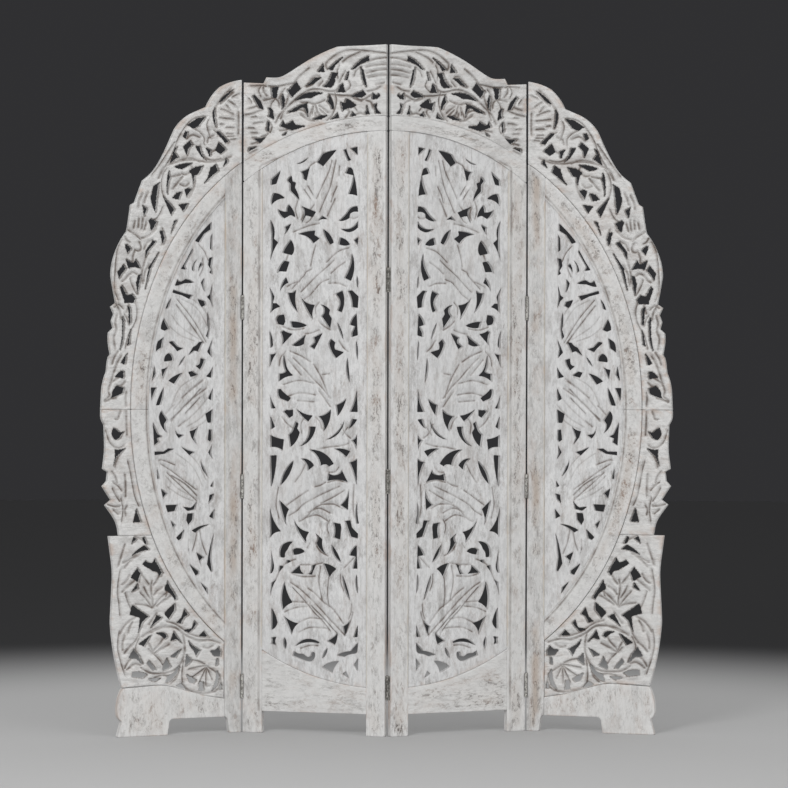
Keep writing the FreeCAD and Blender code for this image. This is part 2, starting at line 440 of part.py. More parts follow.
def opening(rows, y):
    """Face of one opening: a deep bow gets a corner at its middle, the others are cut straight."""
    points = []
    for (u0, z0, bow), (u1, z1, _) in zip(rows, rows[1:] + rows[:1]):
        points.append(V(u0, y, z0))
        if abs(bow) >= DEEP_BOW:
            share = bow / math.hypot(u1 - u0, z1 - z0)
            points.append(V((u0 + u1) / 2 - (z1 - z0) * share, y, (z0 + z1) / 2 + (u1 - u0) * share))
    return Part.Face(Part.makePolygon([*points, points[0]]))


def board(rows, thickness, openings=(), rim=PLAIN_RIM):
    """Board with this outline, centred in the frame's thickness. Openings stop a rim short of its edge."""
    y = (FRAME_THICKNESS - thickness) / 2
    face = Part.Face(wire(rows, y))
    if openings:
        field = face.makeOffset2D(-rim)
        cuts = [opening(outline, y).common(field) for outline in openings]
        face = face.cut(Part.makeCompound([cut for cut in cuts if cut.Faces])).Faces[0]
    return face.extrude(V(0, thickness, 0))


def block(u0, u1, y0, y1, z0, z1):
    """Box between two corners."""
    return Part.makeBox(u1 - u0, y1 - y0, z1 - z0, V(u0, y0, z0))


def middle_block(u0, u1, z0, z1, thickness):
    """Box centred in the frame's thickness."""
    y = (FRAME_THICKNESS - thickness) / 2
    return block(u0, u1, y, y + thickness, z0, z1)


def rod(radius, z0, z1):
    """Upright cylinder on the hinge's axis."""
    return Part.makeCylinder(radius, z1 - z0, V(0, 0, z0))


# ---- hinges, drawn round their axis; towards is +1 or -1 on u and y, the side the wood lies on ----
def hinge_levels():
    """Heights where the three knuckles start and end, from the hinge's middle."""
    step = HINGE_HEIGHT / 3
    return [(-HINGE_HEIGHT / 2 + i * step, -HINGE_HEIGHT / 2 + (i + 1) * step) for i in range(3)]


def hinge_leaf(towards_u, towards_y, own):
    """Plate let into the stile's edge, with the knuckles whose numbers are in own."""
    u0, u1 = sorted((towards_u * EDGE, towards_u * (EDGE + PLATE_THICKNESS)))
    y0, y1 = sorted((towards_y * (KNUCKLE_RADIUS + KNUCKLE_GAP), towards_y * (PIN_OFFSET + PLATE_WIDTH)))
    leaf = block(u0, u1, y0, y1, -HINGE_HEIGHT / 2, HINGE_HEIGHT / 2)
    stub_y0, stub_y1 = sorted((0.0, towards_y * (KNUCKLE_RADIUS + KNUCKLE_GAP)))
    for number in own:
        z0, z1 = hinge_levels()[number]
        z0, z1 = z0 + KNUCKLE_GAP / 2, z1 - KNUCKLE_GAP / 2
        leaf = leaf.fuse([block(u0, u1, stub_y0, stub_y1, z0, z1), rod(KNUCKLE_RADIUS, z0, z1)])
    bore = rod(PIN_RADIUS + PIN_CLEARANCE, -HINGE_HEIGHT, HINGE_HEIGHT)
    return leaf.cut(bore).removeSplitter()


def hinge_room(towards_u, towards_y):
    """Mortise that the plate lies in."""
    u0, u1 = sorted((0.0, towards_u * (EDGE + PLATE_THICKNESS + JOINT_GAP / 2)))
    y0, y1 = sorted((0.0, towards_y * (PIN_OFFSET + PLATE_WIDTH + JOINT_GAP)))
    return block(u0, u1, y0, y1, -HINGE_HEIGHT / 2 - JOINT_GAP, HINGE_HEIGHT / 2 + JOINT_GAP)


def at_fold(shape, heights, u, y):
    """The shape at each hinge of a fold, as one compound."""
    copies = []
    for z in heights:
        copy = shape.copy()
        copy.translate(V(u, y, z))
        copies.append(copy)
    return Part.makeCompound(copies)


BACK_PIN = FRAME_THICKNESS + PIN_OFFSET
FRONT_PIN = -PIN_OFFSET
OUTER_KNUCKLES = (0, 2)
MIDDLE_KNUCKLE = (1,)


def stile_with(shape, cuts, tenons=()):
    """Stile less its mortises and grooves, with its tenons."""
    for cut in cuts:
        shape = shape.cut(cut)
    for tenon in tenons:
        shape = shape.fuse(tenon)
    return shape.removeSplitter()


# ---- inner leaf ----
def stile_tenon(u0, u1, room=0.0):
    """Tenon from a stile's head into the arched rail, or with room the mortise for it."""
    width = (u1 - u0) / 3
    top = oval_point(oval_angle(u1, INSIDE), INSIDE)[1]
    middle = (u0 + u1) / 2
    return middle_block(middle - width / 2 - room, middle + width / 2 + room,
                        top - RING_TOP_WIDTH / 2, top + RING_TOP_WIDTH / 2 + room,
                        TENON_THICKNESS + 2 * room)


def bottom_tenon(u0, u1, room=0.0):
    """Tenon of the bottom rail in a stile."""
    return middle_block(u0 - room, u1 + room, KICK_HEIGHT + TENON_SHOULDER - room,
                        OVAL_BOTTOM - TENON_SHOULDER + room, TENON_THICKNESS + 2 * room)


def jali_groove(u0, u1, fold=0.0):
    """Groove in a stile's edge for the jali board's tongue, as long as the board's side."""
    low = oval_point(-oval_angle(fold + u0, JALI_OUTSIDE), JALI_OUTSIDE)[1]
    high = oval_point(oval_angle(fold + u0, JALI_OUTSIDE), JALI_OUTSIDE)[1]
    return middle_block(u0, u1, low - JOINT_GAP, high + JOINT_GAP, JALI_THICKNESS + 2 * JOINT_GAP)


def inner_stile_blank(u0, u1):
    """Stile from the floor to the underside of the arched rail."""
    head = oval_rows(oval_angle(u0, JALI_OUTSIDE), oval_angle(u1, JALI_OUTSIDE), JALI_OUTSIDE, 1)
    return board([(u0, 0.0, 0), *head, (u1, 0.0, 0)], FRAME_THICKNESS)


def centre_stile():
    """Stile at the centre fold, with the hinge mortises in its back edge."""
    u1 = EDGE + CENTRE_STILE_WIDTH
    groove = jali_groove(u1 - TONGUE_DEPTH - JOINT_GAP, u1)
    hinges = at_fold(hinge_room(1, -1), CENTRE_HINGES, 0, BACK_PIN)
    return stile_with(inner_stile_blank(EDGE, u1),
                      [groove, bottom_tenon(u1 - TENON_LENGTH, u1, JOINT_GAP), hinges],
                      [stile_tenon(EDGE, u1)])


def side_stile():
    """Stile at the side fold, with the hinge mortises in its front edge."""
    u0, u1 = SIDE_STILE_START, INNER_LEAF_WIDTH - EDGE
    groove = jali_groove(u0, u0 + TONGUE_DEPTH + JOINT_GAP)
    hinges = at_fold(hinge_room(-1, 1), SIDE_HINGES, INNER_LEAF_WIDTH, FRONT_PIN)
    return stile_with(inner_stile_blank(u0, u1),
                      [groove, bottom_tenon(u0, u0 + TENON_LENGTH, JOINT_GAP), hinges],
                      [stile_tenon(u0, u1)])


def arch_rail():
    """Arched top rail across both stiles, under the crest."""
    u0, u1 = EDGE, INNER_LEAF_WIDTH - EDGE
    top = oval_rows(oval_angle(u0, RING_OUTSIDE), oval_angle(u1, RING_OUTSIDE), RING_OUTSIDE, 1)
    under = oval_rows(oval_angle(u1, INSIDE), oval_angle(u0, INSIDE), INSIDE, 1)
    rail = board(top + under, FRAME_THICKNESS)
    rail = rail.cut(stile_tenon(EDGE, EDGE + CENTRE_STILE_WIDTH, JOINT_GAP))
    return rail.cut(stile_tenon(SIDE_STILE_START, u1, JOINT_GAP))


def bottom_rail():
    """Bottom rail between the stiles, hollowed along the oval, with a tenon at each end."""
    u0, u1 = EDGE + CENTRE_STILE_WIDTH, SIDE_STILE_START
    top = oval_rows(-oval_angle(u0, INSIDE), -oval_angle(u1, INSIDE), INSIDE, 1)
    rail = board([*top, (u1, KICK_HEIGHT, 0), (u0, KICK_HEIGHT, 0)], FRAME_THICKNESS)
    rail = rail.fuse(bottom_tenon(u0 - TENON_LENGTH + JOINT_GAP, u0))
    return rail.fuse(bottom_tenon(u1, u1 + TENON_LENGTH - JOINT_GAP)).removeSplitter()


def inner_jali():
    """Pierced foliage board of the inner leaf, tongued into both stiles."""
    u0 = EDGE + CENTRE_STILE_WIDTH - TONGUE_DEPTH
    u1 = SIDE_STILE_START + TONGUE_DEPTH
    start, end = oval_angle(u0, JALI_OUTSIDE), oval_angle(u1, JALI_OUTSIDE)
    outline = oval_rows(start, end, JALI_OUTSIDE, 1) + oval_rows(-end, -start, JALI_OUTSIDE, 1)
    return board(outline, JALI_THICKNESS, [inner_rows(rows) for rows in INNER_JALI_OPENINGS],
                 TONGUE_DEPTH + PLAIN_RIM)


def crest_board():
    """Carved crest that stands on the arched rail."""
    u0, u1 = EDGE, INNER_LEAF_WIDTH - EDGE
    under = oval_rows(oval_angle(u1, BOARD_OUTSIDE), oval_angle(u0, BOARD_OUTSIDE), BOARD_OUTSIDE, 1)
    return board(crest_rows(CREST_TOP) + under, CARVED_THICKNESS,
                 [crest_rows(rows) for rows in CREST_OPENINGS])


# ---- outer leaf ----
OUTER_STILE_END = EDGE + OUTER_STILE_WIDTH
FOLD = INNER_LEAF_WIDTH
ARCH_BOW = FOOT_ARCH_CORNER * (1 - math.sqrt(0.5))


def ring_tenon(sign, room=0.0):
    """Tenon of a ring rail in the outer stile, above (+1) or below (-1) the middle."""
    inner = oval_point(sign * oval_angle(FOLD + OUTER_STILE_END, INSIDE), INSIDE)[1]
    low, high = sorted((inner + sign * RING_TENON_SHOULDER,
                        inner + sign * (RING_TENON_SHOULDER + RING_TENON_WIDTH)))
    return middle_block(OUTER_STILE_END - TENON_LENGTH + (0 if room else JOINT_GAP),
                        OUTER_STILE_END, low - room, high + room, TENON_THICKNESS + 2 * room)


def outer_stile():
    """Stile at the side fold of the outer leaf, down to the floor beside the foot's cut-out."""
    u1 = OUTER_STILE_END
    head = oval_rows(oval_angle(FOLD + EDGE, RING_OUTSIDE), oval_angle(FOLD + u1, RING_OUTSIDE),
                     RING_OUTSIDE, 1, FOLD)
    foot = [(u1, FOOT_ARCH_HEIGHT, -ARCH_BOW),
            (FOOT_WIDTH + FOOT_SPLAY, FOOT_ARCH_HEIGHT - FOOT_ARCH_CORNER, 0), (FOOT_WIDTH, 0.0, 0)]
    blank = board([(EDGE, 0.0, 0), *head, *foot], FRAME_THICKNESS)
    groove = jali_groove(u1 - TONGUE_DEPTH - JOINT_GAP, u1, FOLD)
    hinges = at_fold(hinge_room(1, 1), SIDE_HINGES, 0, FRONT_PIN)
    cuts = [groove, ring_tenon(1, JOINT_GAP), ring_tenon(-1, JOINT_GAP), hinges]
    return stile_with(blank, cuts)


def ring_rail(sign):
    """Half of the oval's outer sweep, from the stile to the joint at its widest point."""
    ends = [sign * oval_angle(FOLD + OUTER_STILE_END, grow) for grow in (RING_OUTSIDE, INSIDE)]
    middle = sign * oval_angle_at_height(OVAL_CENTRE + BOARD_GAP / 2, INSIDE)
    outside = oval_rows(ends[0], middle, RING_OUTSIDE, 2, FOLD)
    inside = oval_rows(middle, ends[1], INSIDE, 2, FOLD)
    rows = outside + inside
    return board(rows, FRAME_THICKNESS).fuse(ring_tenon(sign)).removeSplitter()


def outer_jali():
    """Pierced D-shaped foliage board of the outer leaf."""
    u0 = OUTER_STILE_END - TONGUE_DEPTH
    reach = oval_angle(FOLD + u0, JALI_OUTSIDE)
    outline = oval_rows(reach, -reach, JALI_OUTSIDE, 4, FOLD)
    return board(outline, JALI_THICKNESS, [outer_rows(rows) for rows in OUTER_JALI_OPENINGS],
                 TONGUE_DEPTH + PLAIN_RIM)


def upper_border():
    """Carved border from the fan at the side fold down to the oval's middle."""
    top = oval_angle(FOLD + EDGE, BOARD_OUTSIDE)
    middle = oval_angle_at_height(OVAL_CENTRE + BOARD_GAP / 2, BOARD_OUTSIDE)
    edge = outer_rows(UPPER_BORDER_EDGE)
    end = (OUTER_LEAF_REACH, OVAL_CENTRE + BOARD_GAP / 2, 0)
    return board([*edge, end, *oval_rows(middle, top, BOARD_OUTSIDE, 2, FOLD)], CARVED_THICKNESS,
                 [outer_rows(rows) for rows in UPPER_BORDER_OPENINGS])


def lower_border():
    """Carved border from the oval's middle to the corner board."""
    top = oval_angle_at_height(OVAL_CENTRE - BOARD_GAP / 2, BOARD_OUTSIDE)
    low = oval_angle_at_height(oval_height(CORNER_TOP), BOARD_OUTSIDE)
    start = (OUTER_LEAF_REACH, OVAL_CENTRE - BOARD_GAP / 2, 0)
    joint = oval_height(CORNER_TOP)
    edge = outer_rows(LOWER_BORDER_EDGE)
    edge = [row for row in edge if row[1] > joint] + [(edge[-1][0], joint, 0)]
    return board([start, *edge, *oval_rows(low, top, BOARD_OUTSIDE, 1, FOLD)], CARVED_THICKNESS,
                 [outer_rows(rows) for rows in LOWER_BORDER_OPENINGS])


def corner_board():
    """Carved corner between the ring rail, the stile and the foot rail."""
    u0 = OUTER_STILE_END + BOARD_GAP
    high = oval_angle_at_height(oval_height(CORNER_TOP) - BOARD_GAP, BOARD_OUTSIDE)
    low = -oval_angle(FOLD + u0, BOARD_OUTSIDE)
    joint = oval_height(CORNER_TOP) - BOARD_GAP
    edge = outer_rows(CORNER_EDGE)
    edge = [(edge[0][0], joint, edge[0][2])] + [row for row in edge if row[1] < joint]
    foot = [(u, z + BOARD_GAP, bow) for u, z, bow in reversed(outer_rows(FOOT_RAIL_TOP))]
    foot[-1] = (u0, foot[-1][1], 0)
    foot[0] = (foot[0][0], foot[0][1], 0)
    return board([*edge, *foot, *oval_rows(low, high, BOARD_OUTSIDE, 2, FOLD)], CARVED_THICKNESS,
                 [outer_rows(rows) for rows in CORNER_OPENINGS])


def foot_rail():
    """Foot of the outer leaf: sloping top, scalloped end and a cut-out with rounded corners."""
    top = outer_rows(FOOT_RAIL_TOP)
    top[0] = (OUTER_STILE_END + BOARD_GAP, top[0][1], 0)
    end = [(u, max(z, 0.0), bow) for u, z, bow in outer_rows(FOOT_END)]
    end[-1] = (end[-1][0], 0.0, 0)
    arch = [(FOOT_ARCH_END + FOOT_SPLAY, 0.0, 0),
            (FOOT_ARCH_END, FOOT_ARCH_HEIGHT - FOOT_ARCH_CORNER, -ARCH_BOW),
            (FOOT_ARCH_END - FOOT_ARCH_CORNER, FOOT_ARCH_HEIGHT, 0),
            (OUTER_STILE_END + BOARD_GAP, FOOT_ARCH_HEIGHT, 0)]
    return board([*top, *end, *arch], FRAME_THICKNESS)


# ---- assembly ----
def inner_leaf():
    """Pieces of the inner leaf in its own frame."""
    return {"centre_stile": centre_stile(), "side_stile": side_stile(), "arch_rail": arch_rail(),
            "bottom_rail": bottom_rail(), "jali_board": inner_jali(), "crest_board": crest_board()}


def outer_leaf():
    """Pieces of the outer leaf in its own frame."""
    return {"stile": outer_stile(), "upper_ring_rail": ring_rail(1), "lower_ring_rail": ring_rail(-1),
            "jali_board": outer_jali(), "upper_border": upper_border(),
            "lower_border": lower_border(), "corner_board": corner_board(), "foot_rail": foot_rail()}


def placed(shape, turn, u, y, pin):
    """The leaf's shape turned about its pin at (u, y) and set with that pin at a point."""
    shape = shape.copy()
    shape.translate(V(-u, -y, 0))
    shape.rotate(V(0, 0, 0), V(0, 0, 1), turn)
    shape.translate(pin)
    return shape


def side_pin_place():
    """Side fold's pin in the screen's frame, with the centre fold's pin at its origin."""
    reach = V(INNER_LEAF_WIDTH, FRONT_PIN - BACK_PIN, 0)
    return FreeCAD.Rotation(V(0, 0, 1), FOLD_ANGLE).multVec(reach)


def mirrored(shape):
    """The same shape for the left half."""
    return shape.mirror(V(0, 0, 0), V(1, 0, 0))


def build():
    """Every node by name, with the origin on the floor under the middle of the screen."""
    centre_pin, side_pin = V(0, 0, 0), side_pin_place()
    nodes = {}
    halves = [("right", lambda shape: shape), ("left", mirrored)]
    for side, turned in halves:
        for name, shape in inner_leaf().items():
            nodes[f"{side}_inner_{name}"] = turned(placed(shape, FOLD_ANGLE, 0, BACK_PIN, centre_pin))
        for name, shape in outer_leaf().items():
            nodes[f"{side}_outer_{name}"] = turned(placed(shape, -FOLD_ANGLE, 0, FRONT_PIN, side_pin))
        fixed = at_fold(hinge_leaf(-1, 1, OUTER_KNUCKLES), SIDE_HINGES, 0, 0)
        swung = at_fold(hinge_leaf(1, 1, MIDDLE_KNUCKLE), SIDE_HINGES, 0, 0)
        nodes[f"{side}_fold_inner_hinge_leaves"] = turned(placed(fixed, FOLD_ANGLE, 0, 0, side_pin))
        nodes[f"{side}_fold_outer_hinge_leaves"] = turned(placed(swung, -FOLD_ANGLE, 0, 0, side_pin))
        nodes[f"{side}_fold_hinge_pins"] = turned(placed(pins(SIDE_HINGES), 0, 0, 0, side_pin))
    left_leaf = at_fold(hinge_leaf(1, -1, OUTER_KNUCKLES), CENTRE_HINGES, 0, 0)
    right_leaf = at_fold(hinge_leaf(1, -1, MIDDLE_KNUCKLE), CENTRE_HINGES, 0, 0)
    nodes["centre_fold_left_hinge_leaves"] = mirrored(placed(left_leaf, FOLD_ANGLE, 0, 0, centre_pin))
    nodes["centre_fold_right_hinge_leaves"] = placed(right_leaf, FOLD_ANGLE, 0, 0, centre_pin)
    nodes["centre_fold_hinge_pins"] = pins(CENTRE_HINGES)
    return on_the_floor(nodes, {"centre_fold": centre_pin, "side_fold": side_pin})


def pins(heights):
    """Hinge pins of one fold."""
    reach = HINGE_HEIGHT / 2 + PIN_END
    return at_fold(rod(PIN_RADIUS, -reach, reach), heights, 0, 0)


def on_the_floor(nodes, folds):
    """Move everything so that the origin is the bottom centre of the whole screen's box."""
    box = FreeCAD.BoundBox()
    for shape in nodes.values():
        box.add(shape.optimalBoundingBox(False))
    shift = V(0, -box.Center.y, 0)
    for shape in nodes.values():
        shape.translate(shift)
    return nodes, {name: place + shift for name, place in folds.items()}


def main():
    """Write one STEP file per node and print where the folds' pins stand."""
    os.makedirs("parts", exist_ok=True)
    nodes, folds = build()
    for name, shape in nodes.items():
        shape.exportStep(f"parts/{name}.step")
    for name, place in folds.items():
        print(name, round(place.x, 3), round(place.y, 3))


main()
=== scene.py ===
import json
import math

import bpy
import bmesh
import numpy as np
from mathutils import Matrix, Vector


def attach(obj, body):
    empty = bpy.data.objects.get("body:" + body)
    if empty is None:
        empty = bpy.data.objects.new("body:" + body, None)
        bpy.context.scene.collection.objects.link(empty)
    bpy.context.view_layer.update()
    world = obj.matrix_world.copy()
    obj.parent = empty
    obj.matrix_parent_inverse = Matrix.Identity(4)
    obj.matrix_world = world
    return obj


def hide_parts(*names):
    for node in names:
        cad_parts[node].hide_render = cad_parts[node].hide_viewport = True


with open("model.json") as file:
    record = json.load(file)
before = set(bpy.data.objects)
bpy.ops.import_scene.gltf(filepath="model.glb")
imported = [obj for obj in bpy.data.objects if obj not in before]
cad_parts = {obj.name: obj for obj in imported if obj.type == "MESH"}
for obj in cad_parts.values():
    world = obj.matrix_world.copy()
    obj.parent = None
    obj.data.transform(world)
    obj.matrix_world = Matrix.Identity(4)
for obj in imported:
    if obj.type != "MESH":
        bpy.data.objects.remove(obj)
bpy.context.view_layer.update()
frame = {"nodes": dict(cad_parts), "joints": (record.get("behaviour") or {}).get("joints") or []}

bl_info = {
    "name": "Carved Jali Folding Screen",
    "version": (1, 0, 0),
    "blender": (4, 5, 0),
    "location": "View3D > Sidebar > Jali Screen",
    "description": "Carved boards, frame, hinges and studio of a four-leaf whitewashed jali screen",
    "category": "Object",
}

MM = 0.001

# ---- patterns, drawn in millimetres on one leaf: u from the fold nearer the middle, z up ----
# Openings are closed outlines of (u, z) or (u, z, bow) rows; bow is the rise of the arc to the next row.
INNER_JALI_HOLES = [
    [(82, 202), (94, 184), (83, 169)], [(115, 167), (124, 160), (107, 150)],
    [(134, 193, 5), (180, 176), (152, 162, -3)],
    [(83, 242), (99, 226), (103, 220, 2), (139, 209), (120, 205, -2), (93, 214, 2), (84, 222)],
    [(83, 288), (95, 257), (84, 258)], [(105, 300, -2), (124, 284), (119, 258)],
    [(139, 267, -2), (166, 245), (146, 235, 2)], [(166, 227, 3), (180, 199, 4)],
    [(188, 241, 14), (256, 229, -7), (193, 238)],
    [(200, 212, 2), (209, 214), (213, 203), (220, 201), (232, 209), (247, 210), (258, 216), (262, 204),
     (236, 195, 2), (211, 191, 4)],
    [(284, 252, 4.5), (282, 220, 4.5)], [(307, 252), (321, 250, -2), (321, 234), (308, 231, -3)],
    [(320, 328), (321, 271, 4), (304, 291, 2)], [(247, 289, -3), (285, 307), (264, 258, -4)],
    [(284, 398, 7), (290, 323, -3), (263, 344, -4)], [(125, 418, 5), (104, 352, 2)],
    [(86, 422, 5), (83, 371)], [(142, 434, 3), (178, 448), (162, 410, -2)],
    [(198, 445), (211, 441, -2), (213, 426, -2), (222, 419), (210, 418)],
    [(242, 443), (268, 421), (232, 419, -4)], [(266, 452), (279, 455), (280, 445)],
    [(287, 437), (299, 440), (302, 422)], [(322, 480, -3), (325, 419), (320, 420, 2), (314, 440)],
    [(309, 402), (321, 394), (323, 362, -2)],
    [(87, 497, 3), (107, 470), (95, 469, -2), (91, 461), (98, 436), (85, 436)],
    [(155, 497, 8), (129, 451, 3)], [(181, 511), (199, 526, -5), (199, 500, 3), (172, 471, -4)],
    [(229, 478, 3), (250, 486, 2), (264, 480), (261, 469, 2)],
    [(262, 503, 3), (292, 494, 3), (299, 463, 2), (284, 463, -3), (276, 483, -2)],
    [(217, 529, -8), (259, 562, 5), (225, 500, -4)],
    [(104, 561), (119, 560), (104, 519), (84, 515), (83, 527), (100, 543)],
    [(131, 552), (151, 555, -3), (150, 516), (132, 511), (129, 543)],
    [(85, 609, 4), (87, 553), (81, 554, -2)], [(108, 642, -5), (132, 601), (111, 588)],
    [(273, 588), (299, 611, 3), (279, 545, -5)], [(325, 592), (324, 513, -5), (295, 530, -6)],
    [(307, 729), (325, 728), (322, 644, 3)], [(260, 716, 8), (297, 650, 7)],
    [(128, 693, -2), (138, 681, -4), (164, 684), (168, 664, -5), (112, 661)],
    [(86, 723, -2), (107, 713, -2), (87, 653)],
    [(150, 709, 11), (216, 745, -7), (187, 702, -6), (165, 701)],
    [(204, 704, 6), (239, 721, -5), (221, 690)], [(105, 742, 3), (147, 748, -2), (117, 726)],
    [(86, 787, -3), (101, 770, -3), (88, 744)], [(86, 825), (100, 826), (110, 800, 2)],
    [(121, 822, -7), (171, 771, 12)], [(87, 903, -3), (106, 845), (85, 845)],
    [(116, 879, -2), (144, 862), (140, 833, 3)], [(158, 851, -4), (192, 832, -5), (178, 793, 6)],
    [(208, 834, -4), (252, 851, 3), (221, 818)], [(199, 805), (217, 805, -8), (243, 753, 10)],
    [(255, 818), (262, 800, -2), (275, 783), (270, 751, 5), (244, 790), (251, 800), (247, 813)],
    [(262, 850, -2), (281, 849), (289, 844), (274, 827), (262, 834)], [(324, 833), (323, 797), (312, 804)],
    [(287, 771, -2), (324, 782), (324, 751, -4), (291, 741)], [(325, 887), (322, 852), (310, 853, -2)],
    [(268, 880, -2), (296, 903), (304, 902, 3), (300, 879), (276, 870)],
    [(287, 993, 4), (283, 949, -2), (301, 943), (302, 922, -4), (262, 939, -3), (281, 966)],
    [(308, 998, -2), (326, 994), (326, 961, -2)], [(327, 1056), (325, 1011, 3), (318, 1022, 2)],
    [(88, 1031, 3), (85, 980, 2)], [(112, 986, 7), (106, 921)],
    [(123, 1000), (147, 1007, -2), (146, 1025), (158, 1035), (165, 1023, 3), (145, 984)],
    [(140, 1077, 2), (124, 1033, 3)], [(181, 1050), (207, 1038, -2), (204, 1024), (216, 1015), (204, 1007)],
    [(226, 1046), (265, 1018, 4), (232, 1022, -2)],
    [(264, 1048, -2), (289, 1057), (297, 1052, -3), (293, 1018)],
    [(88, 1101, 3), (107, 1072), (93, 1068), (102, 1050), (102, 1040), (85, 1045)],
    [(287, 1098), (303, 1096, 2), (310, 1083), (306, 1074), (289, 1070), (284, 1080)],
    [(224, 1070, 3), (270, 1080), (266, 1065, 3)],
    [(100, 1161), (112, 1160, -3), (101, 1118), (85, 1116), (83, 1145)],
    [(127, 1161), (146, 1152, -9), (141, 1109), (129, 1104, 6)],
    [(186, 1124, -2), (177, 1110, -2), (185, 1094), (161, 1061), (156, 1088), (164, 1100), (161, 1110, 3)],
    [(203, 1123, -5), (240, 1142, 2), (208, 1085, -4)],
    [(254, 1162), (265, 1155), (277, 1155, 6), (249, 1104, -5)],
    [(327, 1170, -4), (325, 1102, -3), (298, 1119), (309, 1128), (319, 1127), (314, 1145)],
    [(87, 1199, 2), (85, 1168, 2)], [(282, 1196, 4), (298, 1158, -4), (276, 1182)],
    [(273, 1236), (288, 1239, 3), (306, 1207), (300, 1212), (281, 1211)],
    [(101, 1258, -5), (122, 1194), (104, 1186, 8)],
    [(325, 1346, -3), (325, 1238, -3), (304, 1287), (316, 1297, 6)],
    [(269, 1294, 2), (292, 1260), (266, 1254, 2), (260, 1272, 2)], [(84, 1300), (96, 1292), (86, 1279)],
    [(107, 1281, 4), (134, 1299), (138, 1282, 3)], [(180, 1321, 3), (162, 1281), (151, 1286, 5)],
    [(202, 1317, 2), (248, 1309, -6), (208, 1284), (190, 1297), (204, 1306)],
    [(85, 1341, -9), (132, 1322, 10), (85, 1325)],
    [(86, 1380, 3), (110, 1372, -2), (138, 1343, 3), (109, 1350), (107, 1361, -3), (85, 1366)],
    [(167, 1346), (182, 1356), (196, 1342, -4)],
    [(200, 1366), (241, 1382, -3), (233, 1362), (239, 1337), (228, 1358), (209, 1353)],
    [(268, 1336), (286, 1327, -3), (287, 1307, 2)],
    [(257, 1353, 3), (274, 1386, 3), (281, 1367, -2), (305, 1374, 4), (287, 1350), (270, 1359)],
    [(286, 1403, 4), (318, 1416, 3), (323, 1385, -5)], [(297, 1475), (324, 1452), (325, 1438), (309, 1441)],
    [(267, 1461, 2), (280, 1449), (272, 1441), (272, 1423), (245, 1396, 2), (258, 1430), (255, 1443),
     (264, 1446)],
    [(217, 1484, -2), (242, 1472, -2), (235, 1453), (226, 1448)], [(221, 1509, -2), (254, 1492, 5)],
    [(144, 1527, 2), (184, 1517), (198, 1496), (181, 1485)], [(87, 1535), (106, 1531), (86, 1513)],
    [(117, 1530), (125, 1527), (113, 1498), (104, 1501, -2)],
    [(100, 1477, 2), (113, 1481), (120, 1467), (97, 1461, -2), (112, 1412, -2), (87, 1407, 2)],
]
